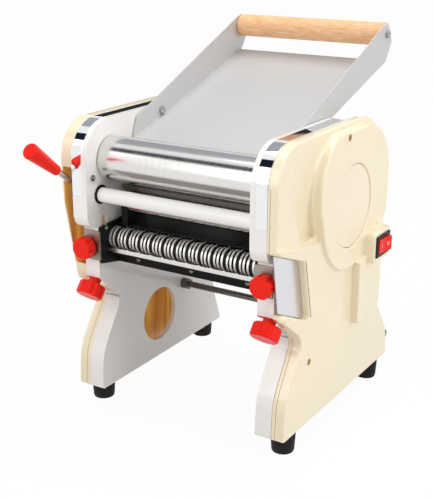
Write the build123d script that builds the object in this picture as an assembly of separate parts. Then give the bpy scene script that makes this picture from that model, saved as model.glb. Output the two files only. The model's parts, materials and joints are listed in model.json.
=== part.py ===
from build123d import *
import os
from math import acos, atan2, cos, degrees, hypot, pi, radians, sin, sqrt, tan

# Machine axes: X across, front towards -Y, Z up, feet on Z = 0, all in mm

# Clearances
RUN_CLR = 0.06
SLIDE_CLR = 0.15
SIDE_CLR = 0.3
CAM_CLR = 0.8
SEAT_CLR = 0.02
OVER = 1.0

# Motor axis, from which the rollers and the head are placed
DRUM_Y = 5.5
DRUM_Z = 245.0

# Press rollers
ROLLER_AHEAD = 109.5
ROLLER_UP = 44.5
ROLLER_Y = DRUM_Y - ROLLER_AHEAD
ROLLER_Z = DRUM_Z + ROLLER_UP
ROLLER_R = 25.0
JOURNAL_R = 9.0
BUSH_WALL = 4.0
BUSH_R = JOURNAL_R + BUSH_WALL
BUSH_FLANGE_W = 3.0
BUSH_FLANGE_R = BUSH_R + BUSH_FLANGE_W
BUSH_FLANGE_T = 0.8
NIP_GAP = 0.6
NIP_ANGLE = 40.0
REAR_JOURNAL_R = 8.0
NIP_Y = cos(radians(NIP_ANGLE))
NIP_Z = -sin(radians(NIP_ANGLE))
NIP_CENTRES = 2 * ROLLER_R + NIP_GAP
REAR_Y = ROLLER_Y + NIP_CENTRES * NIP_Y
REAR_Z = ROLLER_Z + NIP_CENTRES * NIP_Z

# Cutter rollers
CUT_AHEAD = 0.5
CUT_DOWN = 89.0
CUT_Y = ROLLER_Y - CUT_AHEAD
CUT_Z = ROLLER_Z - CUT_DOWN
CUT_DISC_R = 12.0
CUT_DISC_H = 2.5
CUT_LOW_DROP = 0.8
CUT_CORE_R = CUT_DISC_R - CUT_DISC_H
CUT_LOW_R = CUT_DISC_R - CUT_LOW_DROP
CUT_LAP = 1.5
CUT_CENTRES = 2 * CUT_DISC_R - CUT_LAP
CUT_TILT = -4.0
CUT_DISCS = 13
CUT_PITCH = 15.5
CUT_RIDGE_W = 2.2
CUT_RIDGE_STEP = 4.8
CUT_LOW_STEP = 4.7
CUT_MATE_CLR = 0.45
CUT_MATE_W = CUT_RIDGE_STEP - CUT_RIDGE_W - 2 * CUT_MATE_CLR
CUT_SHAFT_R = 6.0
REAR_CUT_Y = CUT_Y + CUT_CENTRES * cos(radians(CUT_TILT))
REAR_CUT_Z = CUT_Z + CUT_CENTRES * sin(radians(CUT_TILT))

# Side frames
FRAME_IN = 100.0
PANEL_T = 5.6
PANEL_OUT = FRAME_IN + PANEL_T
FRAME_DEPTH = 19.0
RIM_OUT = FRAME_IN + FRAME_DEPTH
RIM_T = 6.0
FOOT_H = 23.0
NECK_AHEAD = 26.0
NECK_Y = CUT_Y - NECK_AHEAD
LEG_STEP = 2.5
LEG_FRONT_Y = NECK_Y - LEG_STEP
KNEE_BACK = 1.0
KNEE_Y = NECK_Y + KNEE_BACK
WAIST_BACK = 38.5
WAIST_Y = NECK_Y + WAIST_BACK
LOBE_UP = 16.5
LOBE_Z = CUT_Z + LOBE_UP
HOOK_DOWN = 43.5
HOOK_Z = CUT_Z - HOOK_DOWN
WAIST_DOWN = 32.0
WAIST_Z = HOOK_Z - WAIST_DOWN
KNEE_DOWN = 57.0
KNEE_Z = WAIST_Z - KNEE_DOWN
HEAD_AHEAD = 43.5
HEAD_FRONT_Y = ROLLER_Y - HEAD_AHEAD
HEAD_ABOVE = 44.5
HEAD_TOP_Z = ROLLER_Z + HEAD_ABOVE
FRAME_BEHIND = 89.5
FRAME_REAR_Y = DRUM_Y + FRAME_BEHIND
REAR_KNEE_Z = 112.0
REAR_FLARE = 13.0
REAR_FLARE_Y = FRAME_REAR_Y + REAR_FLARE
REAR_FLARE_Z = 58.0
REAR_SPLAY = 13.0
LEG_REAR_Y = REAR_FLARE_Y + REAR_SPLAY
EDGE_R = 3.0
KNEE_R = 55.0
WAIST_R = 16.0
LOBE_R = 16.0
HEAD_R = 42.0
FRAME_BACK_R = 84.0
HOLE_Y = -18.0
HOLE_Z = 77.0
HOLE_R = 33.0
PAD_REACH = 11.0
PAD_X = RIM_OUT + PAD_REACH
PAD_HALF = 15.0
PAD_T = 7.0

# Chrome head bands
BAND_T = 1.3
BAND_END_DOWN = 35.5
BAND_END_Z = ROLLER_Z - BAND_END_DOWN

# Feet
FOOT_OUT = 20.0
FOOT_X = FRAME_IN + FOOT_OUT
FOOT_Y = 106.6
FOOT_R = 13.5
FOOT_TAPER = 2.0
FOOT_TIP_R = FOOT_R - FOOT_TAPER
FOOT_BORE_R = 3.0
FOOT_HEAD_R = 6.0
FOOT_HEAD_Z = 6.0
FOOT_HEAD_T = 3.0

# Covers
COVER_GAP = 0.2
COVER_IN = RIM_OUT + COVER_GAP
COVER_DEPTH = 14.8
COVER_OUT = COVER_IN + COVER_DEPTH
HEAD_DROP = 4.0
HEAD_OUT = COVER_OUT - HEAD_DROP
COVER_T = 2.5
COVER_BEHIND = 101.0
COVER_REAR_Y = DRUM_Y + COVER_BEHIND
COVER_BACK_R = 70.0
COVER_WAIST_IN = 8.5
COVER_WAIST_Y = COVER_REAR_Y - COVER_WAIST_IN
COVER_HEAD_DOWN = 19.0
COVER_HEAD_LOW_Z = DRUM_Z - COVER_HEAD_DOWN
COVER_WAIST_DROP = 22.0
COVER_WAIST_TOP_Z = COVER_HEAD_LOW_Z - COVER_WAIST_DROP
COVER_REAR_KNEE_Z = 100.0
COVER_FLARE = 23.5
COVER_FLARE_Y = COVER_REAR_Y + COVER_FLARE
COVER_FLARE_Z = 60.0
COVER_SPLAY = 6.0
COVER_LEG_REAR_Y = COVER_FLARE_Y + COVER_SPLAY
COVER_EDGE_R = 4.0
NOTCH_BACK = 52.0
NOTCH_TOP_Y = HEAD_FRONT_Y + NOTCH_BACK
NOTCH_LEAN = 15.5
NOTCH_LOW_Y = NOTCH_TOP_Y + NOTCH_LEAN
NOTCH_TOP_UP = 10.5
NOTCH_TOP_Z = CUT_Z + NOTCH_TOP_UP
NOTCH_LOW_DOWN = 59.0
NOTCH_LOW_Z = CUT_Z - NOTCH_LOW_DOWN
NOTCH_HOOK_AHEAD = 1.5
NOTCH_HOOK_Y = NECK_Y - NOTCH_HOOK_AHEAD
NOTCH_HOOK_UP = 8.0
NOTCH_HOOK_Z = HOOK_Z + NOTCH_HOOK_UP
NOTCH_FRONT_UP = 30.5
NOTCH_FRONT_Z = CUT_Z + NOTCH_FRONT_UP
LEDGE_FRONT_UP = 7.0
LEDGE_FRONT_Z = NOTCH_FRONT_Z + LEDGE_FRONT_UP
LEDGE_FALL = 16.0
LEDGE_REAR_Z = LEDGE_FRONT_Z - LEDGE_FALL
DRUM_R = 70.0
DRUM_RISE = 9.0
DRUM_OUT = HEAD_OUT + DRUM_RISE
DRUM_CAP_R = 45.5
DRUM_LIP = 3.0
DRUM_CAP_T = 1.8
DRUM_CAP_DEEP = 1.2
SHOULDER_AHEAD = 12.0
SHOULDER_UP = 24.0
SHOULDER_R = 65.5
SCOOP_WALL = 2.0
SCOOP_DEEP = 8.2
SCOOP_DEEP_X = HEAD_OUT - SCOOP_DEEP
SCOOP_TOP_DOWN = 8.0
SCOOP_TOP_Z = HEAD_TOP_Z - SCOOP_TOP_DOWN
SCOOP_H = 98.0
SCOOP_LOW_Z = SCOOP_TOP_Z - SCOOP_H
SCOOP_FRONT = 26.5
SCOOP_TOP_LEAN = 14.0
SCOOP_MID_RISE = 8.0
RAISE_INSET = 6.5
RAISE_DOWN = 37.0
RAISE_LOW_Z = DRUM_Z - RAISE_DOWN
RAISE_R = 15.0
PILLAR_BEHIND = 14.5
PILLAR_FRONT_Y = DRUM_Y + PILLAR_BEHIND
PILLAR_W = 59.0
PILLAR_REAR_Y = PILLAR_FRONT_Y + PILLAR_W
PILLAR_TOP_DOWN = 31.0
PILLAR_TOP_Z = DRUM_Z - PILLAR_TOP_DOWN
PILLAR_H = 110.0
PILLAR_LOW_Z = PILLAR_TOP_Z - PILLAR_H
PILLAR_RISE = 10.0
PILLAR_OUT = COVER_OUT + PILLAR_RISE
PILLAR_RIB_W = 27.0
PILLAR_STEP_Y = PILLAR_FRONT_Y + PILLAR_RIB_W
PILLAR_STEP_H = 6.5
POD_BACK = 15.0
POD_FRONT_Y = PILLAR_FRONT_Y + POD_BACK
POD_TOP_DOWN = 6.5
POD_TOP_Z = PILLAR_TOP_Z - POD_TOP_DOWN
POD_H = 35.5
POD_LOW_Z = POD_TOP_Z - POD_H
POD_RISE = 9.5
POD_OUT = PILLAR_OUT + POD_RISE
POD_R = 8.0
POD_REAR_R = 4.0
LEFT_FRONT_BACK = 2.5
LEFT_FRONT_Y = NECK_Y + LEFT_FRONT_BACK
LEFT_FRONT_UP = 28.0
LEFT_FRONT_Z = WAIST_Z + LEFT_FRONT_UP
WINDOW_LOW_UP = 19.0
WINDOW_LOW_Z = LEFT_FRONT_Z + WINDOW_LOW_UP
WINDOW_ABOVE = 39.0
WINDOW_TOP_Z = DRUM_Z + WINDOW_ABOVE
LEFT_MID_BACK = 1.5
LEFT_MID_Y = HEAD_FRONT_Y + LEFT_MID_BACK
LEFT_MID_DOWN = 43.5
LEFT_MID_Z = ROLLER_Z - LEFT_MID_DOWN
PLATE_T = 1.5
PLATE_SINK = 3.5
ACCESS_OUT = HEAD_OUT - PLATE_SINK
PLATE_GAP = 0.4
PLATE_AHEAD = 5.0

# Roller ends against the frames
ROLLER_SIDE = 1.0
ROLLER_HALF = FRAME_IN - ROLLER_SIDE
REAR_SIDE = 8.0
REAR_HALF = FRAME_IN - REAR_SIDE

# Gap adjustment
GAP_TRAVEL = 3.0
LEVER_RANGE = 45.0
BLOCK_HALF_W = 15.0
BLOCK_BACK = 14.0
BLOCK_FRONT = 17.0
BLOCK_STAND = 6.5
BLOCK_IN = FRAME_IN - BLOCK_STAND
CAM_REACH = 36.0
CAM_SIDE = 1.4
CAM_T = 4.6
CAM_OUT = FRAME_IN - CAM_SIDE
CAM_IN = CAM_OUT - CAM_T
CAM_R = CAM_REACH - BLOCK_FRONT - CAM_CLR
CAM_RELIEF = 4.0
GAP_Y = REAR_Y + CAM_REACH * NIP_Y
GAP_Z = REAR_Z + CAM_REACH * NIP_Z
GAP_SHAFT_R = 6.0
HUB_WALL = 5.0
HUB_R = GAP_SHAFT_R + HUB_WALL
HUB_T = 8.0
LEVER_IN = 8.5
LEVER_X = COVER_IN + LEVER_IN
LEVER_ROD_R = 3.5
LEVER_BEND_AHEAD = 89.34
LEVER_BEND_UP = 23.865
LEVER_BEND_Y = GAP_Y - LEVER_BEND_AHEAD
LEVER_BEND_Z = GAP_Z + LEVER_BEND_UP
LEVER_ROD_AHEAD = 33.0
LEVER_ROD_UP = 24.7
GRIP_START_Y = LEVER_BEND_Y - LEVER_ROD_AHEAD
GRIP_START_Z = LEVER_BEND_Z + LEVER_ROD_UP
GRIP_AHEAD = 41.0
GRIP_UP = 30.7
GRIP_TIP_Y = GRIP_START_Y - GRIP_AHEAD
GRIP_TIP_Z = GRIP_START_Z + GRIP_UP
GRIP_SMALL_R = 5.5
GRIP_BIG_R = 9.0

# Gears
GEAR_GAP = 1.0
GEAR_A_X = PANEL_OUT + GEAR_GAP
GEAR_A_T = 5.0
GEAR_STEP = 1.4
GEAR_B_X = GEAR_A_X + GEAR_A_T + GEAR_STEP
GEAR_B_T = 5.0
GEAR_SIDE = 0.5
GEAR_C_X = FRAME_IN + GEAR_SIDE
GEAR_C_T = 4.8
ROLLER_TEETH = 22
DRIVE_MODULE = 2.0
DRIVE_TEETH = 24
MOTOR_TEETH = 42
CUTTER_DRIVE_TEETH = 18
CUTTER_PAIR_TEETH = 23
IDLER_BEND = 7.8
CUTTER_IDLER_BEND = 13.0
IDLER_TEETH = round((hypot(ROLLER_AHEAD, ROLLER_UP) + IDLER_BEND) / DRIVE_MODULE
                    - (DRIVE_TEETH + MOTOR_TEETH) / 2)
CUTTER_IDLER_REACH = hypot(DRUM_Y - REAR_CUT_Y, DRUM_Z - REAR_CUT_Z) + CUTTER_IDLER_BEND
CUTTER_IDLER_TEETH = round(CUTTER_IDLER_REACH / DRIVE_MODULE - (MOTOR_TEETH + CUTTER_DRIVE_TEETH) / 2)
STUD_R = 5.0
STUD_HEAD_R = 7.0
BACKLASH = 0.16
PRESSURE_ANGLE = 20.0

# Motor
MOTOR_R = 35.0
MOTOR_NOSE_L = 12.0
MOTOR_FACE = FRAME_IN - MOTOR_NOSE_L
MOTOR_L = 80.0
MOTOR_IN = MOTOR_FACE - MOTOR_L
MOTOR_NOSE_R = 24.0
MOTOR_TAIL_L = 8.0
MOTOR_SHAFT_R = 8.0
MOTOR_SHAFT_IN = 28.0
MOTOR_SHAFT_GAP = 2.0

# Guide rod
ROD_AHEAD = 20.0
ROD_DOWN = 36.5
ROD_Y = ROLLER_Y - ROD_AHEAD
ROD_Z = ROLLER_Z - ROD_DOWN
ROD_R = 8.0
ROD_PIN_R = 4.0
RING_R = 10.5
RING_T = 1.2

# Cutter unit
END_PLATE_SIDE = 0.6
END_PLATE_T = 2.4
PLATE_OUT = FRAME_IN - END_PLATE_SIDE
PLATE_IN = PLATE_OUT - END_PLATE_T
END_PLATE_BEHIND = 30.0
PLATE_REAR_Y = REAR_CUT_Y + END_PLATE_BEHIND
END_PLATE_RISE = 5.5
END_PLATE_UP = 22.0
PLATE_TOP_Z = CUT_Z + END_PLATE_UP
END_PLATE_DOWN = 32.5
PLATE_LOW_Z = CUT_Z - END_PLATE_DOWN
COMB_T = 2.0
COMB_CLR = 0.5
COMB_W = CUT_PITCH - CUT_RIDGE_STEP - CUT_LOW_STEP - CUT_RIDGE_W - 2 * COMB_CLR
COMB_RISE = 1.0
COMB_BACK = 4.0
COMB_END = 9.0
BAR_BEHIND = 6.5
BAR_Y = CUT_Y + BAR_BEHIND
BAR_T = 2.0
BAR_DOWN = 16.0
BAR_TOP_Z = CUT_Z - BAR_DOWN
BAR_H = 15.0
BAR_LOW_Z = BAR_TOP_Z - BAR_H
BAR_AHEAD = 12.0
BAR_FRONT_Y = CUT_Y - BAR_AHEAD
BAR_SCREW_UP = 7.0
BAR_SCREW_Z = BAR_LOW_Z + BAR_SCREW_UP
BAR_SCREW_X = 70.0
BAR_SCREW_L = 5.0
BAR_SCREW_R = 2.6
STRIP_T = 1.4
STRIP_UP = 5.5
SCALLOP = 3.0
FEED_BEHIND = 8.5
FEED_Y = CUT_Y + FEED_BEHIND
FEED_UP = 37.5
FEED_Z = CUT_Z + FEED_UP
FEED_R = 8.0
FEED_SIDE = 20.0
FEED_HALF = FRAME_IN - FEED_SIDE
FEED_BLOCK_W = 8.0
FEED_PIN_R = 4.0
BRACKET_T = 2.4
BRACKET_EDGE = 1.0
BRACKET_OUT = RIM_OUT - BRACKET_EDGE
KNOB_DOWN = 5.8
UPPER_KNOB_Z = CUT_Z - KNOB_DOWN
BRACKET_BELOW = 14.7
BRACKET_LOW_Z = UPPER_KNOB_Z - BRACKET_BELOW
BRACKET_ABOVE = 18.3
BRACKET_TOP_Z = UPPER_KNOB_Z + BRACKET_ABOVE
HOOK_PIN_AHEAD = 15.0
HOOK_PIN_Y = CUT_Y - HOOK_PIN_AHEAD
HOOK_PIN_UP = 14.5
HOOK_PIN_Z = CUT_Z + HOOK_PIN_UP
HOOK_PIN_R = 3.0
KEYHOLE_R = 4.4
KEYHOLE_L = 11.0
KEYHOLE_TOP_Z = HOOK_PIN_Z + KEYHOLE_L

# Thumb knobs
KNOB_OUT = 11.5
KNOB_X = FRAME_IN + KNOB_OUT
KNOB_R = 12.2
KNOB_T = 13.0
KNOB_EDGE = 1.5
KNOB_FLUTE_R = 3.0
KNOB_FLUTES = 8
KNOB_HUB_R = 7.0
KNOB_HUB_T = 2.0
KNOB_STUD_R = 3.0
KNOB_STUD_L = 13.0
LOWER_KNOB_R = 15.2
LOWER_KNOB_T = 15.0
LOWER_HUB_T = 5.0
LOWER_KNOB_ALONG = 7.1
BOSS_HALF = 8.0
BOSS_DEEP = 17.0

# Feed tray
TRAY_SIDE = 0.8
TRAY_OUT = FRAME_IN - TRAY_SIDE
TRAY_T = 1.2
TRAY_BEHIND_NIP = 38.0
TRAY_FRONT_Y = ROLLER_Y + TRAY_BEHIND_NIP
TRAY_ABOVE_NIP = 13.5
TRAY_FRONT_Z = ROLLER_Z + TRAY_ABOVE_NIP
TRAY_RUN = 234.0
TRAY_REAR_Y = TRAY_FRONT_Y + TRAY_RUN
TRAY_CLIMB = 72.0
TRAY_REAR_Z = TRAY_FRONT_Z + TRAY_CLIMB
TRAY_SLOPE = TRAY_CLIMB / TRAY_RUN
TRAY_DROP = TRAY_T * sqrt(1 + TRAY_SLOPE ** 2)
WING_FRONT_BACK = 8.5
WING_FRONT_Y = TRAY_FRONT_Y + WING_FRONT_BACK
WING_FRONT_UP = 24.0
WING_FRONT_Z = TRAY_FRONT_Z + WING_FRONT_UP
WING_BEND_BACK = 24.0
WING_BEND_Y = TRAY_FRONT_Y + WING_BEND_BACK
WING_BEND_UP = 30.0
WING_BEND_Z = TRAY_FRONT_Z + WING_BEND_UP
WING_PAST = 16.0
WING_BACK_Y = TRAY_REAR_Y + WING_PAST
WING_TOP_DROP = 4.0
WING_BACK_DOWN = 9.0
WING_R = 3.0
HANDLE_PAST = 0.5
HANDLE_Y = TRAY_REAR_Y + HANDLE_PAST
HANDLE_UP = 31.5
HANDLE_Z = TRAY_REAR_Z + HANDLE_UP
HANDLE_R = 13.5
HANDLE_GAP = 0.2
PIVOT_BACK = 56.0
PIVOT_Y = TRAY_FRONT_Y + PIVOT_BACK
PIVOT_UP = 23.5
PIVOT_Z = TRAY_FRONT_Z + PIVOT_UP
PIVOT_R = 3.0
PIVOT_HEAD_R = 4.5
PIVOT_HEAD_T = 2.5

# Tie rods
TIE_Y = 33.0
TIE_Z = 101.0
TIE_R = 3.8
COLLAR_R = 6.5
COLLAR_T = 10.0
REST_BEHIND = 4.5
REST_Y = DRUM_Y + REST_BEHIND
REST_R = 5.0
REST_Z = (TRAY_FRONT_Z + TRAY_SLOPE * (REST_Y - TRAY_FRONT_Y) - TRAY_DROP
          - (REST_R + SIDE_CLR) * sqrt(1 + TRAY_SLOPE ** 2))
TIE_SCREW_R = 4.5
TIE_SCREW_T = 3.0
TIE_SHANK_R = 2.5
TIE_SHANK_L = 14.0

# Switch and cable gland
SWITCH_IN_POD = 20.8
SWITCH_Y = POD_FRONT_Y + SWITCH_IN_POD
SWITCH_UP = 18.5
SWITCH_Z = POD_LOW_Z + SWITCH_UP
BEZEL_HALF_Y = 17.5
BEZEL_HALF_Z = 12.0
BEZEL_T = 1.8
SWITCH_DEEP = 22.5
SWITCH_IN = POD_OUT - SWITCH_DEEP
ROCKER_HALF_Y = 13.0
ROCKER_HALF_Z = 8.0
ROCKER_RISE = 4.5
ROCKER_DROP = 3.5
ROCKER_TILT = 8.0
ROCKER_PIN_R = 1.5
ROCKER_DISH = 57.0
GLAND_IN = 6.8
GLAND_X = COVER_IN + GLAND_IN
GLAND_Z = 46.0
GLAND_R = 5.0
GLAND_HEAD_R = 7.5
GLAND_L = 9.0
GLAND_STEM_L = 16.0
GLAND_SINK = 3.0

# Visible fasteners
SCREW_R = 3.6
SCREW_T = 1.6
SCREW_SHANK_R = 1.8
SCREW_SINK = 0.3
SCREW_LOW_Y = -78.0
SCREW_LOW_Z = 94.0
SCREW_TOP_AHEAD = 15.0
SCREW_TOP_Y = DRUM_Y - SCREW_TOP_AHEAD
SCREW_TOP_DOWN = 12.5
SCREW_TOP_Z = HEAD_TOP_Z - SCREW_TOP_DOWN
HEAD_SCREW_BACK = 10.5
HEAD_SCREW_Y = HEAD_FRONT_Y + HEAD_SCREW_BACK
HEAD_SCREW_DOWN = 15.5
HEAD_SCREW_Z = ROLLER_Z - HEAD_SCREW_DOWN

HOOK_TURN = atan2(HOOK_Z - WAIST_Z, NECK_Y - WAIST_Y)
UPWARD = (Align.CENTER, Align.CENTER, Align.MIN)


def yz_face(points):
    """Face in the plane X = 0 from corners (y, z, round radius)."""
    edges = []
    ends = []
    count = len(points)
    for i in range(count):
        before = Vector(0, points[i - 1][0], points[i - 1][1])
        here = Vector(0, points[i][0], points[i][1])
        after = Vector(0, points[(i + 1) % count][0], points[(i + 1) % count][1])
        radius = points[i][2]
        if radius < 0.05:
            ends.append((here, here))
            continue
        to_before = (before - here).normalized()
        to_after = (after - here).normalized()
        half = radians(to_before.get_angle(to_after)) / 2
        start = here + to_before * (radius / tan(half))
        end = here + to_after * (radius / tan(half))
        centre = here + (to_before + to_after).normalized() * (radius / sin(half))
        middle = centre + (here - centre).normalized() * radius
        edges.append(Edge.make_three_point_arc(start, middle, end))
        ends.append((start, end))
    for i in range(count):
        start = ends[i][1]
        end = ends[(i + 1) % count][0]
        if (end - start).length > 0.001:
            edges.append(Edge.make_line(start, end))
    return Face(Wire(edges))


def inset(points, depth):
    """Corners moved inwards by depth, with their radii changed to suit."""
    count = len(points)
    area = 0
    for i in range(count):
        area += points[i - 1][0] * points[i][1] - points[i][0] * points[i - 1][1]
    turn = 1 if area > 0 else -1
    moved = []
    for i in range(count):
        y0, z0, _ = points[i - 1]
        y1, z1, radius = points[i]
        y2, z2, _ = points[(i + 1) % count]
        first = hypot(y1 - y0, z1 - z0)
        second = hypot(y2 - y1, z2 - z1)
        ny0, nz0 = -(z1 - z0) / first * turn, (y1 - y0) / first * turn
        ny1, nz1 = -(z2 - z1) / second * turn, (y2 - y1) / second * turn
        scale = depth / (1 + ny0 * ny1 + nz0 * nz1)
        bend = ((y1 - y0) * (z2 - z1) - (z1 - z0) * (y2 - y1)) * turn
        grown = radius - depth if bend > 0 else radius + depth
        moved.append((y1 + (ny0 + ny1) * scale, z1 + (nz0 + nz1) * scale, max(grown, 0.0)))
    return moved


def slab(points, x0, x1):
    """Prism along X from a YZ outline."""
    return Pos(x0, 0, 0) * extrude(yz_face(points), amount=x1 - x0, dir=(1, 0, 0))


def rod_x(y, z, radius, x0, x1):
    """Cylinder along X."""
    return Pos(x0, y, z) * Rot(0, 90, 0) * Cylinder(radius, x1 - x0, align=UPWARD)


def rod_between(start, end, r0, r1):
    """Round bar or cone from one point to another."""
    a = Vector(*start)
    b = Vector(*end)
    place = Plane(origin=a, z_dir=b - a)
    length = (b - a).length
    if abs(r0 - r1) < 0.001:
        body = Cylinder(r0, length, align=UPWARD)
    else:
        body = Cone(r0, r1, length, align=UPWARD)
    return place * body


def block(x0, x1, y0, y1, z0, z1):
    """Box from its limits."""
    return Pos((x0 + x1) / 2, (y0 + y1) / 2, (z0 + z1) / 2) * Box(x1 - x0, y1 - y0, z1 - z0)


def flip(shape):
    """The left-hand copy of a right-hand shape."""
    return mirror(shape, about=Plane.YZ)


def group(*shapes):
    """Separate solids of one node."""
    solids = []
    for shape in shapes:
        solids.extend(shape.solids())
    return Compound(solids)


def both(shape):
    """A right-hand shape with its left-hand copy."""
    return group(shape, flip(shape))


def frame_corners():
    return [
        (LEG_FRONT_Y, FOOT_H, EDGE_R),
        (KNEE_Y, KNEE_Z, KNEE_R),
        (WAIST_Y, WAIST_Z, WAIST_R),
        (NECK_Y, HOOK_Z, EDGE_R),
        (NECK_Y, LOBE_Z, 0),
        (HEAD_FRONT_Y, LOBE_Z, LOBE_R),
        (HEAD_FRONT_Y, HEAD_TOP_Z, HEAD_R),
        (FRAME_REAR_Y, HEAD_TOP_Z, FRAME_BACK_R),
        (FRAME_REAR_Y, REAR_KNEE_Z, KNEE_R),
        (REAR_FLARE_Y, REAR_FLARE_Z, KNEE_R),
        (LEG_REAR_Y, FOOT_H, EDGE_R),
    ]


def band_ring():
    outer = frame_corners()
    ring = slab(outer, PANEL_OUT, RIM_OUT) - slab(inset(outer, BAND_T), PANEL_OUT, RIM_OUT)
    reach = block(PANEL_OUT, RIM_OUT, HEAD_FRONT_Y - 1, FRAME_REAR_Y + 1, BAND_END_Z, HEAD_TOP_Z + 1)
    return ring & reach


def turned_block(x0, x1, along0, along1, half):
    """Box on the rear roller axis, lying along the way the bearing block slides."""
    box = block(x0, x1, along0, along1, -half, half)
    return Pos(0, REAR_Y, REAR_Z) * Rot(-NIP_ANGLE, 0, 0) * box


def hook_base():
    """Point on the slanted hook face where the lower knob bears."""
    along = Vector(0, cos(HOOK_TURN), sin(HOOK_TURN))
    tip = Vector(0, NECK_Y, HOOK_Z)
    return tip - along * LOWER_KNOB_ALONG


def knob_axis_lower():
    """Direction in which the lower knob points, square to the hook face."""
    out = Vector(0, -sin(HOOK_TURN), cos(HOOK_TURN))
    return out if out.Z < 0 else out * -1


def side_frame(right):
    """Right-hand frame casting; the left one is its mirror but for the gear openings."""
    outer = frame_corners()
    frame = slab(outer, FRAME_IN, RIM_OUT) - slab(inset(outer, RIM_T), PANEL_OUT, RIM_OUT)
    frame = frame - band_ring()
    for side in (-1, 1):
        pad = block(PANEL_OUT - OVER, PAD_X, side * FOOT_Y - PAD_HALF, side * FOOT_Y + PAD_HALF,
                    FOOT_H, FOOT_H + PAD_T)
        frame = frame + pad
        frame = frame - Pos(FOOT_X, side * FOOT_Y, FOOT_H) * Cylinder(FOOT_BORE_R + SEAT_CLR, 4 * PAD_T)
    boss = block(PANEL_OUT - OVER, RIM_OUT, NECK_Y, NECK_Y + BOSS_DEEP,
                 UPPER_KNOB_Z - BOSS_HALF, UPPER_KNOB_Z + BOSS_HALF)
    hook = hook_base()
    axis = knob_axis_lower()
    inner = hook - axis * BOSS_DEEP
    low_boss = rod_between((KNOB_X, hook.Y, hook.Z), (KNOB_X, inner.Y, inner.Z), KNOB_HUB_R, KNOB_HUB_R)
    low_boss = low_boss & slab(outer, PANEL_OUT - 1, RIM_OUT)
    frame = frame + boss + low_boss
    hole = rod_between((KNOB_X, NECK_Y - 1, UPPER_KNOB_Z), (KNOB_X, NECK_Y + KNOB_STUD_L, UPPER_KNOB_Z),
                       KNOB_STUD_R + RUN_CLR, KNOB_STUD_R + RUN_CLR)
    start = hook + axis
    stop = hook - axis * (KNOB_STUD_L + 1)
    low_hole = rod_between((KNOB_X, start.Y, start.Z), (KNOB_X, stop.Y, stop.Z),
                           KNOB_STUD_R + RUN_CLR, KNOB_STUD_R + RUN_CLR)
    frame = frame - hole - low_hole
    frame = frame - rod_x(HOLE_Y, HOLE_Z, HOLE_R, FRAME_IN - 1, RIM_OUT)
    through = FRAME_IN - 1, PANEL_OUT + 1
    frame = frame - rod_x(ROLLER_Y, ROLLER_Z, BUSH_R, *through)
    frame = frame - rod_x(ROLLER_Y, ROLLER_Z, BUSH_FLANGE_R, FRAME_IN - 1, FRAME_IN + BUSH_FLANGE_T)
    frame = frame - rod_x(ROD_Y, ROD_Z, ROD_R, *through)
    frame = frame - rod_x(GAP_Y, GAP_Z, GAP_SHAFT_R + RUN_CLR, *through)
    frame = frame - rod_x(TIE_Y, TIE_Z, TIE_SHANK_R, *through)
    frame = frame - rod_x(REST_Y, REST_Z, TIE_SHANK_R, *through)
    frame = frame - rod_x(PIVOT_Y, PIVOT_Z, PIVOT_R, *through)
    frame = frame - rod_x(HEAD_SCREW_Y, HEAD_SCREW_Z, SCREW_SHANK_R, *through)
    frame = frame - turned_block(FRAME_IN - 1, PANEL_OUT + 1, -BLOCK_BACK - SIDE_CLR,
                                 BLOCK_FRONT + GAP_TRAVEL + SIDE_CLR, BLOCK_HALF_W + SLIDE_CLR)
    keyhole = rod_x(HOOK_PIN_Y, HOOK_PIN_Z, KEYHOLE_R, *through)
    keyhole = keyhole + rod_x(HOOK_PIN_Y, KEYHOLE_TOP_Z, KEYHOLE_R, *through)
    keyhole = keyhole + block(*through, HOOK_PIN_Y - KEYHOLE_R, HOOK_PIN_Y + KEYHOLE_R,
                              HOOK_PIN_Z, KEYHOLE_TOP_Z)
    if not right:
        return flip(frame - keyhole)
    frame = frame - rod_x(DRUM_Y, DRUM_Z, MOTOR_SHAFT_R + MOTOR_SHAFT_GAP, *through)
    for y, z in idler_places():
        frame = frame - rod_x(y, z, STUD_R, *through)
    frame = frame - rod_x(CUT_Y, CUT_Z, pair_open(), *through)
    return frame - rod_x(REAR_CUT_Y, REAR_CUT_Z, pair_open(), *through)


def pair_open():
    """Radius of the frame openings around the cutter gears."""
    return CUT_CENTRES / 2 + CUT_CENTRES / CUTTER_PAIR_TEETH + GEAR_GAP


def chrome_band():
    return band_ring()


def idler_places():
    """Axes of the roller idler and the cutter idler."""
    def meet(p, q, rp, rq, side):
        dy, dz = q[0] - p[0], q[1] - p[1]
        gap = hypot(dy, dz)
        along = (rp * rp - rq * rq + gap * gap) / (2 * gap)
        off = sqrt(rp * rp - along * along) * side
        return (p[0] + (dy * along - dz * off) / gap, p[1] + (dz * along + dy * off) / gap)
    m = DRIVE_MODULE / 2
    first = meet((ROLLER_Y, ROLLER_Z), (DRUM_Y, DRUM_Z),
                 m * (DRIVE_TEETH + IDLER_TEETH), m * (IDLER_TEETH + MOTOR_TEETH), 1)
    second = meet((DRUM_Y, DRUM_Z), (REAR_CUT_Y, REAR_CUT_Z),
                  m * (MOTOR_TEETH + CUTTER_IDLER_TEETH), m * (CUTTER_IDLER_TEETH + CUTTER_DRIVE_TEETH), 1)
    return first, second


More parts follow.
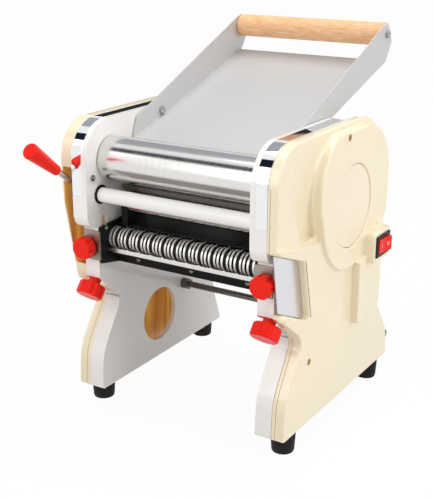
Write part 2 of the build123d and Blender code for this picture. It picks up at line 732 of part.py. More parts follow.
def gear(y, z, module, teeth, phase, bore, x0, width):
    """Spur gear along X with chord-cut involute flanks."""
    pitch = module * teeth / 2
    base = pitch * cos(radians(PRESSURE_ANGLE))
    root = pitch - 1.25 * module
    tip = pitch + 0.9 * module
    flank_in = max(base, root + 0.2 * module)

    def half_angle(radius):
        lean = acos(min(1.0, base / radius))
        rest = tan(radians(PRESSURE_ANGLE)) - radians(PRESSURE_ANGLE)
        return pi / (2 * teeth) - BACKLASH * module / (2 * pitch) + rest - (tan(lean) - lean)
    radii = [root, flank_in, pitch, tip]
    halves = [half_angle(flank_in), half_angle(flank_in), half_angle(pitch), half_angle(tip)]
    points = []
    for i in range(teeth):
        middle = phase + 2 * pi * i / teeth
        for radius, half in zip(radii, halves):
            points.append((y + radius * cos(middle - half), z + radius * sin(middle - half), 0))
        for radius, half in zip(reversed(radii), reversed(halves)):
            points.append((y + radius * cos(middle + half), z + radius * sin(middle + half), 0))
    return slab(points, x0, x0 + width) - rod_x(y, z, bore, x0 - 1, x0 + width + 1)


def mesh_phase(phase, teeth, place, next_teeth, next_place):
    """Phase of the next gear so that it meshes with this one."""
    line = atan2(next_place[1] - place[1], next_place[0] - place[0])
    return line + pi - (phase - line) * teeth / next_teeth - pi / next_teeth


def gear_phases():
    roller = (ROLLER_Y, ROLLER_Z)
    rear = (REAR_Y, REAR_Z)
    motor = (DRUM_Y, DRUM_Z)
    idler, cutter_idler = idler_places()
    rear_cut = (REAR_CUT_Y, REAR_CUT_Z)
    phases = {"front": 0.0, "drive": 0.0, "rear_cut": 0.0}
    phases["rear"] = mesh_phase(0.0, ROLLER_TEETH, roller, ROLLER_TEETH, rear)
    phases["idler"] = mesh_phase(0.0, DRIVE_TEETH, roller, IDLER_TEETH, idler)
    phases["motor"] = mesh_phase(phases["idler"], IDLER_TEETH, idler, MOTOR_TEETH, motor)
    phases["cutter_idler"] = mesh_phase(phases["motor"], MOTOR_TEETH, motor,
                                        CUTTER_IDLER_TEETH, cutter_idler)
    phases["cutter_drive"] = mesh_phase(phases["cutter_idler"], CUTTER_IDLER_TEETH, cutter_idler,
                                        CUTTER_DRIVE_TEETH, rear_cut)
    phases["front_cut"] = mesh_phase(0.0, CUTTER_PAIR_TEETH, rear_cut, CUTTER_PAIR_TEETH, (CUT_Y, CUT_Z))
    return phases


def cover_corners():
    return [
        (LEG_FRONT_Y, FOOT_H, EDGE_R),
        (KNEE_Y, KNEE_Z, KNEE_R),
        (WAIST_Y, WAIST_Z, WAIST_R),
        (NECK_Y - COVER_EDGE_R, HOOK_Z, COVER_EDGE_R),
        (NOTCH_HOOK_Y, NOTCH_HOOK_Z, COVER_EDGE_R),
        (NOTCH_LOW_Y, NOTCH_LOW_Z, COVER_EDGE_R),
        (NOTCH_TOP_Y, NOTCH_TOP_Z, COVER_EDGE_R),
        (HEAD_FRONT_Y, NOTCH_FRONT_Z, COVER_EDGE_R),
        (HEAD_FRONT_Y, HEAD_TOP_Z, HEAD_R),
        (COVER_REAR_Y, HEAD_TOP_Z, COVER_BACK_R),
        (COVER_REAR_Y, COVER_HEAD_LOW_Z, COVER_EDGE_R),
        (COVER_WAIST_Y, COVER_WAIST_TOP_Z, COVER_EDGE_R),
        (COVER_WAIST_Y, COVER_REAR_KNEE_Z, COVER_EDGE_R),
        (COVER_FLARE_Y, COVER_FLARE_Z, KNEE_R),
        (COVER_LEG_REAR_Y, FOOT_H, EDGE_R),
    ]


def left_cover_corners():
    return [
        (LEG_FRONT_Y, FOOT_H, EDGE_R),
        (KNEE_Y, KNEE_Z, KNEE_R),
        (WAIST_Y, WAIST_Z, WAIST_R),
        (LEFT_FRONT_Y, LEFT_FRONT_Z, COVER_EDGE_R),
        (LEFT_MID_Y, LEFT_MID_Z, 0),
        (HEAD_FRONT_Y, HEAD_TOP_Z, HEAD_R),
        (COVER_REAR_Y, HEAD_TOP_Z, COVER_BACK_R),
        (COVER_REAR_Y, COVER_HEAD_LOW_Z, COVER_EDGE_R),
        (COVER_WAIST_Y, COVER_WAIST_TOP_Z, COVER_EDGE_R),
        (COVER_WAIST_Y, COVER_REAR_KNEE_Z, COVER_EDGE_R),
        (COVER_FLARE_Y, COVER_FLARE_Z, KNEE_R),
        (COVER_LEG_REAR_Y, FOOT_H, EDGE_R),
    ]


def head_region(x0, x1, lower):
    """Everything above the ledge line of the right cover."""
    far = COVER_LEG_REAR_Y + 5
    near = HEAD_FRONT_Y - 10
    return slab([(near, LEDGE_FRONT_Z - lower, 0), (near, HEAD_TOP_Z + 10, 0), (far, HEAD_TOP_Z + 10, 0),
                 (far, LEDGE_REAR_Z - lower, 0), (DRUM_Y - DRUM_R, LEDGE_REAR_Z - lower, 0)], x0, x1)


def scoop(grow):
    """Hollow in front of the drum, deepest at the ledge."""
    front = HEAD_FRONT_Y + SCOOP_FRONT - grow
    middle_z = (SCOOP_TOP_Z + SCOOP_LOW_Z) / 2 + SCOOP_MID_RISE
    region = slab([(front + SCOOP_TOP_LEAN, SCOOP_TOP_Z + grow, HEAD_R / 2),
                   (front, middle_z, HEAD_R),
                   (NOTCH_TOP_Y - COVER_EDGE_R - grow, SCOOP_LOW_Z + SCOOP_MID_RISE - grow,
                    SCOOP_MID_RISE),
                   (NOTCH_TOP_Y, SCOOP_LOW_Z - grow, 0),
                   (DRUM_Y, SCOOP_LOW_Z - grow, 0),
                   (DRUM_Y, SCOOP_TOP_Z + grow, 0)],
                  COVER_IN - 5, DRUM_OUT + 5)
    rise = SCOOP_TOP_Z - SCOOP_LOW_Z
    tilt = degrees(atan2(HEAD_OUT - SCOOP_DEEP_X, rise))
    wedge = block(0, HEAD_OUT, -HEAD_TOP_Z, HEAD_TOP_Z, -HEAD_TOP_Z, HEAD_TOP_Z)
    wedge = Pos(SCOOP_DEEP_X - grow, 0, SCOOP_LOW_Z) * Rot(0, tilt, 0) * wedge
    drum = rod_x(DRUM_Y, DRUM_Z, DRUM_R + SCOOP_WALL - grow, COVER_IN - 6, DRUM_OUT + 6)
    shoulder = rod_x(DRUM_Y - SHOULDER_AHEAD, DRUM_Z + SHOULDER_UP, SHOULDER_R + SCOOP_WALL - grow,
                     COVER_IN - 6, DRUM_OUT + 6)
    return (region & wedge) - drum - shoulder


def drum_shoulder(depth, x0, x1):
    """Rounded shoulder that joins the drum to the top of the head."""
    disc = rod_x(DRUM_Y - SHOULDER_AHEAD, DRUM_Z + SHOULDER_UP, SHOULDER_R - depth, x0, x1)
    return disc & slab(inset(cover_corners(), RAISE_INSET + depth), x0, x1)


def rear_raise(depth, x0, x1):
    """Rear of the right head, standing out as far as the drum."""
    outline = slab(inset(cover_corners(), RAISE_INSET + depth), x0, x1)
    corner = COVER_REAR_Y - RAISE_INSET - depth
    low = RAISE_LOW_Z + depth
    window = [(DRUM_Y, low, 0), (DRUM_Y, HEAD_TOP_Z, 0), (corner, HEAD_TOP_Z, 0), (corner, low, RAISE_R)]
    return outline & slab(window, x0, x1)


def switch_pod(depth, x0, x1):
    """Raised box that carries the switch."""
    return slab([(POD_FRONT_Y + depth, POD_LOW_Z + depth, 0),
                 (POD_FRONT_Y + depth, POD_TOP_Z - depth, POD_R - depth),
                 (PILLAR_REAR_Y - depth, POD_TOP_Z - depth, POD_REAR_R),
                 (PILLAR_REAR_Y - depth, POD_LOW_Z + depth, 0)], x0, x1)


def cover_pillar(depth, x0, x1):
    """Upright panel under the drum, lower at its front edge."""
    front = PILLAR_FRONT_Y + depth
    rear = PILLAR_REAR_Y - depth
    low = PILLAR_LOW_Z + depth
    top = PILLAR_TOP_Z - depth
    return slab([(front, low, 0), (front, top, 0), (rear, top, 0), (rear, low + PILLAR_STEP_H, 0),
                 (PILLAR_STEP_Y - depth, low + PILLAR_STEP_H, 0), (PILLAR_STEP_Y - depth, low, 0)], x0, x1)


def right_cover():
    corners = cover_corners()
    body = slab(corners, COVER_IN, COVER_OUT) - head_region(HEAD_OUT, COVER_OUT + 1, 0)
    body = body + rod_x(DRUM_Y, DRUM_Z, DRUM_R, HEAD_OUT - 1, DRUM_OUT)
    body = body + rear_raise(0, HEAD_OUT - 1, DRUM_OUT) + drum_shoulder(0, HEAD_OUT - 1, DRUM_OUT)
    pillar = cover_pillar(0, COVER_OUT - 1, PILLAR_OUT)
    pillar = pillar - rod_x(DRUM_Y, DRUM_Z, DRUM_R + SIDE_CLR, COVER_OUT, PILLAR_OUT + 1)
    body = body + pillar + switch_pod(0, COVER_OUT - 1, POD_OUT) - scoop(0)
    inner = inset(corners, COVER_T)
    cavity = slab(inner, COVER_IN - 1, HEAD_OUT - COVER_T)
    low = slab(inner, COVER_IN - 1, COVER_OUT - COVER_T) - head_region(COVER_IN - 2, DRUM_OUT, COVER_T)
    low = low + block(COVER_IN - 1, COVER_OUT - COVER_T, LEG_FRONT_Y + 2 * COVER_T,
                      COVER_LEG_REAR_Y - 2 * COVER_T, FOOT_H - 1, FOOT_H + 2 * COVER_T)
    cavity = cavity + low + rod_x(DRUM_Y, DRUM_Z, DRUM_R - COVER_T, COVER_IN - 1, DRUM_OUT - COVER_T)
    cavity = cavity + rear_raise(COVER_T, COVER_IN - 1, DRUM_OUT - COVER_T)
    cavity = cavity + drum_shoulder(COVER_T, COVER_IN - 1, DRUM_OUT - COVER_T)
    hollow = cover_pillar(COVER_T, COVER_IN, PILLAR_OUT - COVER_T)
    cavity = cavity + (hollow - rod_x(DRUM_Y, DRUM_Z, DRUM_R + COVER_T, HEAD_OUT, PILLAR_OUT))
    cavity = cavity + switch_pod(COVER_T, COVER_IN, POD_OUT - COVER_T)
    body = body - (cavity - scoop(COVER_T))
    body = body - rod_x(DRUM_Y, DRUM_Z, DRUM_CAP_R, DRUM_OUT - DRUM_CAP_DEEP - DRUM_CAP_T, DRUM_OUT + 1)
    body = body - rod_x(DRUM_Y, DRUM_Z, DRUM_CAP_R - DRUM_LIP, COVER_IN, DRUM_OUT + 1)
    for y, z, face in screw_places():
        body = body - rod_x(y, z, SCREW_R + SIDE_CLR, face - SCREW_T, face + 1)
        body = body - rod_x(y, z, SCREW_SHANK_R, COVER_IN - 1, face + 1)
    body = body - block(PILLAR_OUT - COVER_T, POD_OUT + 1,
                        SWITCH_Y - BEZEL_HALF_Y + BEZEL_T, SWITCH_Y + BEZEL_HALF_Y - BEZEL_T,
                        SWITCH_Z - BEZEL_HALF_Z + BEZEL_T, SWITCH_Z + BEZEL_HALF_Z - BEZEL_T)
    rear = COVER_LEG_REAR_Y + GLAND_L
    body = body - rod_between((GLAND_X, 0, GLAND_Z), (GLAND_X, rear, GLAND_Z), GLAND_R, GLAND_R)
    return body - lower_knob_room()


def screw_places():
    """Cover screws: place and the face they sit on."""
    return [(SCREW_LOW_Y, SCREW_LOW_Z, COVER_OUT), (SCREW_TOP_Y, SCREW_TOP_Z, DRUM_OUT)]


def left_cover():
    corners = left_cover_corners()
    inner = inset(corners, COVER_T)
    body = slab(corners, COVER_IN, COVER_OUT) - slab(inner, COVER_IN - 1, COVER_OUT - COVER_T)
    body = body - block(COVER_IN - OVER, COVER_OUT - COVER_T, LEG_FRONT_Y + 2 * COVER_T,
                        COVER_LEG_REAR_Y - 2 * COVER_T, FOOT_H - OVER, FOOT_H + 2 * COVER_T)
    body = body - block(COVER_IN - OVER, COVER_OUT - COVER_T, HEAD_FRONT_Y - OVER,
                        LEFT_FRONT_Y + 2 * COVER_T, WINDOW_LOW_Z, WINDOW_TOP_Z)
    for y, z, _ in screw_places():
        body = body - rod_x(y, z, SCREW_R + SIDE_CLR, COVER_OUT - SCREW_T, COVER_OUT + 1)
        body = body - rod_x(y, z, SCREW_SHANK_R, COVER_IN - 1, COVER_OUT + 1)
    return flip(body - lower_knob_room())


def cover_screws():
    """Cover screws reach through a spacer to the frame side."""
    right = []
    left = []
    for y, z, face in screw_places():
        right.append(cover_screw(y, z, face))
        left.append(flip(cover_screw(y, z, COVER_OUT)))
    return group(*right, *left)


def cover_screw(y, z, face):
    head = rod_x(y, z, SCREW_R, face - SCREW_T, face - SCREW_SINK)
    return head + rod_x(y, z, SCREW_SHANK_R - SEAT_CLR, COVER_IN + SIDE_CLR, face - SCREW_T)


def drum_cap():
    face = DRUM_OUT - DRUM_CAP_DEEP
    return rod_x(DRUM_Y, DRUM_Z, DRUM_CAP_R - SLIDE_CLR, face - DRUM_CAP_T, face)


def access_plate():
    """Steel plate in the notch of the right cover, on a pad against the frame boss."""
    pad = block(RIM_OUT, ACCESS_OUT - PLATE_T, NECK_Y + RIM_T, NECK_Y + BOSS_DEEP,
                UPPER_KNOB_Z - BOSS_HALF, UPPER_KNOB_Z + BOSS_HALF)
    return pad + slab(inset(access_corners(), PLATE_GAP), ACCESS_OUT - PLATE_T, ACCESS_OUT)


def access_corners():
    climb = (NOTCH_HOOK_Z - NOTCH_LOW_Z) / (NOTCH_LOW_Y - NOTCH_HOOK_Y)
    return [(HEAD_FRONT_Y, NOTCH_FRONT_Z, 0),
            (NOTCH_HOOK_Y - PLATE_AHEAD, NOTCH_HOOK_Z + PLATE_AHEAD * climb, 0),
            (NOTCH_LOW_Y, NOTCH_LOW_Z, COVER_EDGE_R + PLATE_GAP),
            (NOTCH_TOP_Y, NOTCH_TOP_Z, COVER_EDGE_R + PLATE_GAP)]


def foot_places():
    return [(x, y) for x in (-FOOT_X, FOOT_X) for y in (-FOOT_Y, FOOT_Y)]


def rubber_feet():
    feet = []
    for x, y in foot_places():
        foot = Cone(FOOT_TIP_R, FOOT_R, FOOT_H, align=UPWARD)
        foot = foot - Cylinder(FOOT_HEAD_R, FOOT_HEAD_Z, align=UPWARD)
        foot = foot - Cylinder(FOOT_BORE_R, 3 * FOOT_H)
        feet.append(Pos(x, y, 0) * foot)
    return group(*feet)


def foot_screws():
    screws = []
    for x, y in foot_places():
        head = Cylinder(FOOT_HEAD_R - OVER, FOOT_HEAD_T, align=UPWARD)
        head = Pos(0, 0, FOOT_HEAD_Z - FOOT_HEAD_T) * head
        shank = Pos(0, 0, FOOT_HEAD_Z) * Cylinder(FOOT_BORE_R - SEAT_CLR, FOOT_H - FOOT_HEAD_Z + PAD_T,
                                                  align=UPWARD)
        screws.append(Pos(x, y, 0) * (head + shank))
    return group(*screws)


def tie_rod(y, z, radius):
    rod = rod_x(y, z, radius, -FRAME_IN, FRAME_IN)
    hole = rod_x(y, z, TIE_SHANK_R, FRAME_IN - TIE_SHANK_L, FRAME_IN + 1)
    return rod - hole - flip(hole)


def tie_rod_collars():
    collar = rod_x(TIE_Y, TIE_Z, COLLAR_R, FRAME_IN - COLLAR_T, FRAME_IN)
    return both(collar - rod_x(TIE_Y, TIE_Z, TIE_R + RUN_CLR, FRAME_IN - COLLAR_T - OVER, FRAME_IN + OVER))


def tie_rod_screws():
    screws = []
    for y, z in ((TIE_Y, TIE_Z), (REST_Y, REST_Z)):
        screw = rod_x(y, z, TIE_SCREW_R, PANEL_OUT, PANEL_OUT + TIE_SCREW_T)
        screw = screw + rod_x(y, z, TIE_SHANK_R - SEAT_CLR, FRAME_IN - TIE_SHANK_L + 1, PANEL_OUT)
        screws.extend([screw, flip(screw)])
    return group(*screws)


def head_screws():
    head = rod_x(HEAD_SCREW_Y, HEAD_SCREW_Z, SCREW_R, FRAME_IN - SCREW_T, FRAME_IN)
    return both(head + rod_x(HEAD_SCREW_Y, HEAD_SCREW_Z, SCREW_SHANK_R - SEAT_CLR, FRAME_IN, PANEL_OUT))


def motor():
    body = rod_x(DRUM_Y, DRUM_Z, MOTOR_R, MOTOR_IN, MOTOR_FACE)
    body = body + rod_x(DRUM_Y, DRUM_Z, MOTOR_NOSE_R, MOTOR_FACE, FRAME_IN)
    body = body + rod_x(DRUM_Y, DRUM_Z, MOTOR_R / 2, MOTOR_IN - MOTOR_TAIL_L, MOTOR_IN)
    bore = FRAME_IN - MOTOR_SHAFT_IN - MOTOR_SHAFT_GAP
    return body - rod_x(DRUM_Y, DRUM_Z, MOTOR_SHAFT_R + RUN_CLR, bore, FRAME_IN + OVER)


def motor_gear():
    phase = gear_phases()["motor"]
    wheel = gear(DRUM_Y, DRUM_Z, DRIVE_MODULE, MOTOR_TEETH, phase, MOTOR_SHAFT_R, GEAR_B_X, GEAR_B_T)
    return wheel


def motor_shaft():
    return rod_x(DRUM_Y, DRUM_Z, MOTOR_SHAFT_R - SEAT_CLR, FRAME_IN - MOTOR_SHAFT_IN, GEAR_B_X + GEAR_B_T)


def roller_bushes():
    bush = rod_x(ROLLER_Y, ROLLER_Z, BUSH_R, FRAME_IN, PANEL_OUT)
    bush = bush + rod_x(ROLLER_Y, ROLLER_Z, BUSH_FLANGE_R, FRAME_IN, FRAME_IN + BUSH_FLANGE_T)
    return both(bush - rod_x(ROLLER_Y, ROLLER_Z, JOURNAL_R + RUN_CLR, FRAME_IN - 1, PANEL_OUT + 1))


def front_press_roller():
    roller = rod_x(ROLLER_Y, ROLLER_Z, ROLLER_R, -ROLLER_HALF, ROLLER_HALF)
    return roller + rod_x(ROLLER_Y, ROLLER_Z, JOURNAL_R, -PANEL_OUT, GEAR_B_X + GEAR_B_T)


def front_roller_gear():
    module = NIP_CENTRES / ROLLER_TEETH
    return gear(ROLLER_Y, ROLLER_Z, module, ROLLER_TEETH, 0.0, JOURNAL_R + SEAT_CLR, GEAR_A_X, GEAR_A_T)


def roller_drive_gear():
    bore = JOURNAL_R + SEAT_CLR
    return gear(ROLLER_Y, ROLLER_Z, DRIVE_MODULE, DRIVE_TEETH, 0.0, bore, GEAR_B_X, GEAR_B_T)


def rear_press_roller():
    roller = rod_x(REAR_Y, REAR_Z, ROLLER_R, -REAR_HALF, REAR_HALF)
    return roller + rod_x(REAR_Y, REAR_Z, REAR_JOURNAL_R, -PANEL_OUT, GEAR_A_X + GEAR_A_T)


def rear_roller_gear():
    module = NIP_CENTRES / ROLLER_TEETH
    phase = gear_phases()["rear"]
    return gear(REAR_Y, REAR_Z, module, ROLLER_TEETH, phase, REAR_JOURNAL_R + SEAT_CLR, GEAR_A_X, GEAR_A_T)


def rear_bearing_blocks():
    body = turned_block(BLOCK_IN, PANEL_OUT, -BLOCK_BACK, BLOCK_FRONT, BLOCK_HALF_W)
    return both(body - rod_x(REAR_Y, REAR_Z, REAR_JOURNAL_R + RUN_CLR, BLOCK_IN - 1, PANEL_OUT + 1))


def gap_shaft():
    return rod_x(GAP_Y, GAP_Z, GAP_SHAFT_R, -LEVER_X - HUB_T / 2 + 1, PANEL_OUT)


def gap_cams():
    """Spiral cams: radius falls evenly as the lever comes down."""
    toward = atan2(-NIP_Z, -NIP_Y)
    fall = GAP_TRAVEL / radians(LEVER_RANGE)
    sweep = 1.5 * radians(LEVER_RANGE)
    points = []
    steps = 60
    for i in range(steps):
        angle = -pi + 2 * pi * i / steps
        if angle > 0:
            radius = CAM_R if angle < radians(NIP_ANGLE) else CAM_R - CAM_RELIEF
        else:
            radius = CAM_R - fall * min(-angle, sweep)
        points.append((GAP_Y + radius * cos(toward + angle), GAP_Z + radius * sin(toward + angle), 0))
    bore = rod_x(GAP_Y, GAP_Z, GAP_SHAFT_R + SEAT_CLR, CAM_IN - OVER, CAM_OUT + OVER)
    return both(slab(points, CAM_IN, CAM_OUT) - bore)


def lever_arm():
    """Hub, flat arm and round rod of the cranked gap lever."""
    hub = rod_x(GAP_Y, GAP_Z, HUB_R, LEVER_X - HUB_T / 2, LEVER_X + HUB_T / 2 - OVER)
    bend = (LEVER_X, LEVER_BEND_Y, LEVER_BEND_Z)
    arm = rod_between((LEVER_X, GAP_Y, GAP_Z), bend, LEVER_ROD_R, LEVER_ROD_R)
    arm = arm + Pos(*bend) * Sphere(LEVER_ROD_R)
    rod = rod_between(bend, (LEVER_X, GRIP_START_Y, GRIP_START_Z), LEVER_ROD_R, LEVER_ROD_R)
    body = hub + arm + rod
    return flip(body - rod_x(GAP_Y, GAP_Z, GAP_SHAFT_R + SEAT_CLR, LEVER_X - HUB_T, LEVER_X + HUB_T))


def lever_grip():
    start = (LEVER_X, GRIP_START_Y, GRIP_START_Z)
    tip = (LEVER_X, GRIP_TIP_Y, GRIP_TIP_Z)
    grip = rod_between(start, tip, GRIP_SMALL_R, GRIP_BIG_R)
    return flip(fillet(grip.edges().filter_by(GeomType.CIRCLE), GRIP_SMALL_R * 0.45))


def idler_gear():
    place = idler_places()[0]
    phase = gear_phases()["idler"]
    return gear(*place, DRIVE_MODULE, IDLER_TEETH, phase, STUD_R + RUN_CLR, GEAR_B_X, GEAR_B_T)


def cutter_idler_gear():
    place = idler_places()[1]
    phase = gear_phases()["cutter_idler"]
    return gear(*place, DRIVE_MODULE, CUTTER_IDLER_TEETH, phase, STUD_R + RUN_CLR, GEAR_B_X, GEAR_B_T)


def gear_studs():
    studs = []
    for y, z in idler_places():
        stud = rod_x(y, z, STUD_R, FRAME_IN + GEAR_SIDE, GEAR_B_X + GEAR_B_T + SIDE_CLR)
        studs.append(stud + rod_x(y, z, STUD_HEAD_R, PANEL_OUT, GEAR_B_X - SIDE_CLR))
    return group(*studs)


def guide_rod():
    rod = rod_x(ROD_Y, ROD_Z, ROD_R, -FRAME_IN + RING_T + SIDE_CLR, FRAME_IN - RING_T - SIDE_CLR)
    return rod + rod_x(ROD_Y, ROD_Z, ROD_PIN_R, -PANEL_OUT + SIDE_CLR, PANEL_OUT - SIDE_CLR)


def guide_rod_rings():
    ring = rod_x(ROD_Y, ROD_Z, RING_R, FRAME_IN - RING_T, FRAME_IN)
    ring = ring + rod_x(ROD_Y, ROD_Z, ROD_R - SEAT_CLR, FRAME_IN, PANEL_OUT)
    return both(ring - rod_x(ROD_Y, ROD_Z, ROD_PIN_R + RUN_CLR, FRAME_IN - RING_T - 1, PANEL_OUT + 1))


def disc_places(count):
    return [(i - (count - 1) / 2) * CUT_PITCH for i in range(count)]


def low_places():
    """Low ridges, one before each pair of tall ridges but the first."""
    return [x - CUT_RIDGE_STEP / 2 - CUT_LOW_STEP for x in disc_places(CUT_DISCS)[1:]]


def cutter_core(y, z, right_end):
    core = rod_x(y, z, CUT_CORE_R, -PLATE_IN + SIDE_CLR, PLATE_IN - SIDE_CLR)
    return core + rod_x(y, z, CUT_SHAFT_R, -PLATE_OUT, right_end)


def front_cutter_roller():
    """Front cutter roller: pairs of tall ridges with a low ridge between."""
    roller = cutter_core(CUT_Y, CUT_Z, GEAR_C_X + GEAR_C_T)
    half = CUT_RIDGE_W / 2
    for x in disc_places(CUT_DISCS):
        for ridge in (x - CUT_RIDGE_STEP / 2, x + CUT_RIDGE_STEP / 2):
            roller = roller + rod_x(CUT_Y, CUT_Z, CUT_DISC_R, ridge - half, ridge + half)
    for x in low_places():
        roller = roller + rod_x(CUT_Y, CUT_Z, CUT_LOW_R, x - half, x + half)
    return roller


def rear_cutter_roller():
    """Rear cutter roller: its ridges run in the grooves of the front one."""
    roller = cutter_core(REAR_CUT_Y, REAR_CUT_Z, GEAR_B_X + GEAR_B_T)
    half = CUT_MATE_W / 2
    for x in disc_places(CUT_DISCS) + [x + CUT_LOW_STEP / 2 for x in low_places()]:
        roller = roller + rod_x(REAR_CUT_Y, REAR_CUT_Z, CUT_DISC_R, x - half, x + half)
    return roller


def cutter_pair_gear(y, z, phase):
    module = CUT_CENTRES / CUTTER_PAIR_TEETH
    return gear(y, z, module, CUTTER_PAIR_TEETH, phase, CUT_SHAFT_R + SEAT_CLR, GEAR_C_X, GEAR_C_T)


def front_cutter_gear():
    return cutter_pair_gear(CUT_Y, CUT_Z, gear_phases()["front_cut"])


def rear_cutter_gear():
    return cutter_pair_gear(REAR_CUT_Y, REAR_CUT_Z, 0.0)


def cutter_drive_gear():
    phase = gear_phases()["cutter_drive"]
    return gear(REAR_CUT_Y, REAR_CUT_Z, DRIVE_MODULE, CUTTER_DRIVE_TEETH, phase, CUT_SHAFT_R + SEAT_CLR,
                GEAR_B_X, GEAR_B_T)


def cutter_end_plates():
    plate = slab([(NECK_Y, PLATE_TOP_Z - END_PLATE_RISE, EDGE_R),
                  (PLATE_REAR_Y, PLATE_TOP_Z, EDGE_R),
                  (PLATE_REAR_Y, REAR_CUT_Z - CUT_DISC_R, EDGE_R),
                  (BAR_Y + BOSS_HALF, PLATE_LOW_Z, EDGE_R),
                  (NECK_Y, PLATE_LOW_Z + BOSS_HALF, EDGE_R)], PLATE_IN, PLATE_OUT)
    for y, z in ((CUT_Y, CUT_Z), (REAR_CUT_Y, REAR_CUT_Z)):
        plate = plate - rod_x(y, z, CUT_SHAFT_R + RUN_CLR, PLATE_IN - 1, PLATE_OUT + 1)
    pin_hole = rod_x(HOOK_PIN_Y, HOOK_PIN_Z, HOOK_PIN_R, PLATE_IN - OVER, PLATE_OUT + OVER)
    return group(plate, flip(plate - pin_hole))


def cutter_hook_pin():
    return flip(rod_x(HOOK_PIN_Y, HOOK_PIN_Z, HOOK_PIN_R - SEAT_CLR, PLATE_IN, PANEL_OUT - 1))


def cutter_clamp_brackets():
    """Steel flanges from the end plates out over the frame necks."""
    flange = block(PLATE_IN, BRACKET_OUT, NECK_Y - BRACKET_T, NECK_Y, BRACKET_LOW_Z, BRACKET_TOP_Z)
    radius = KNOB_STUD_R + SIDE_CLR
    hole = rod_between((KNOB_X, NECK_Y - BRACKET_T - OVER, UPPER_KNOB_Z),
                       (KNOB_X, NECK_Y + OVER, UPPER_KNOB_Z), radius, radius)
    return both(flange - hole)


def cutter_upper_comb():
    """Black plate behind the ridges with fingers that come over in the wide grooves."""
    top = comb_top()
    lip_y = CUT_Y + COMB_BACK
    under = [(lip_y, top), (REAR_CUT_Y, top + COMB_RISE), (PLATE_REAR_Y, top + 2 * COMB_RISE)]
    over = [(y, z + COMB_T) for y, z in reversed(under)]
    plate = slab([(y, z, 0) for y, z in under + over], -PLATE_IN, PLATE_IN)
    ring_in = CUT_CORE_R + COMB_CLR
    ring_out = CUT_DISC_R - COMB_CLR
    front_y = CUT_Y - CUT_DISC_R
    half = COMB_W / 2
    fingers = None
    for x in finger_places():
        ring = rod_x(CUT_Y, CUT_Z, ring_out, x - half, x + half)
        post = block(x - half, x + half, lip_y, lip_y + COMB_T, CUT_Z + CUT_SHAFT_R, top + COMB_T / 2)
        room = block(x - half, x + half, front_y, lip_y + COMB_T, CUT_Z, top)
        room = room + block(x - half, x + half, front_y, CUT_Y - COMB_BACK, CUT_Z - COMB_END, CUT_Z)
        finger = (ring & room) + post - rod_x(CUT_Y, CUT_Z, ring_in, x - COMB_W, x + COMB_W)
        fingers = finger if fingers is None else fingers + finger
    return plate + fingers


def finger_places():
    """Middles of the wide grooves, where the comb fingers pass."""
    return [x + (CUT_PITCH - CUT_LOW_STEP) / 2 for x in disc_places(CUT_DISCS)[:-1]]


def comb_top():
    """Underside of the upper comb over the front cutter roller."""
    return CUT_Z + CUT_DISC_R + COMB_RISE


def cutter_lower_comb():
    """Steel strip under the discs with an upright lip in front, scalloped where they pass."""
    low = BAR_TOP_Z + BAR_T
    half = PLATE_IN - SIDE_CLR
    strip = block(-half, half, BAR_FRONT_Y, BAR_Y, low, low + STRIP_T)
    strip = strip + block(-half, half, BAR_FRONT_Y, BAR_FRONT_Y + STRIP_T, low, low + STRIP_UP)
    strip = strip - rod_x(CUT_Y, CUT_Z, CUT_DISC_R + COMB_CLR, -PLATE_IN, PLATE_IN)
    reach = (CUT_RIDGE_STEP + CUT_RIDGE_W) / 2 + COMB_CLR
    for x in disc_places(CUT_DISCS):
        scallop = rod_x(CUT_Y, CUT_Z, CUT_DISC_R + SCALLOP, x - reach - CUT_LOW_STEP, x + reach)
        strip = strip - (scallop & block(-PLATE_IN, PLATE_IN, BAR_FRONT_Y - OVER, BAR_FRONT_Y + 2 * STRIP_T,
                                         low + STRIP_T, CUT_Z))
    return strip


def cutter_angle_bar():
    bar = block(-PLATE_IN, PLATE_IN, BAR_FRONT_Y, BAR_Y + BAR_T, BAR_TOP_Z, BAR_TOP_Z + BAR_T)
    bar = bar + block(-PLATE_IN, PLATE_IN, BAR_Y, BAR_Y + BAR_T, BAR_LOW_Z, BAR_TOP_Z)
    for x in (-BAR_SCREW_X, 0, BAR_SCREW_X):
        bar = bar - rod_between((x, BAR_Y - OVER, BAR_SCREW_Z), (x, BAR_Y + BAR_SCREW_L, BAR_SCREW_Z),
                                SCREW_SHANK_R, SCREW_SHANK_R)
    return bar


def angle_bar_screws():
    screws = []
    for x in (-BAR_SCREW_X, 0, BAR_SCREW_X):
        head = rod_between((x, BAR_Y - SCREW_T, BAR_SCREW_Z), (x, BAR_Y, BAR_SCREW_Z),
                           BAR_SCREW_R, BAR_SCREW_R)
        shank = rod_between((x, BAR_Y, BAR_SCREW_Z), (x, BAR_Y + BAR_SCREW_L, BAR_SCREW_Z),
                            SCREW_SHANK_R - SEAT_CLR, SCREW_SHANK_R - SEAT_CLR)
        screws.append(head + shank)
    return group(*screws)


def feed_roller():
    roller = rod_x(FEED_Y, FEED_Z, FEED_R, -FEED_HALF + SIDE_CLR, FEED_HALF - SIDE_CLR)
    return roller + rod_x(FEED_Y, FEED_Z, FEED_PIN_R, -FEED_HALF - FEED_BLOCK_W, FEED_HALF + FEED_BLOCK_W)


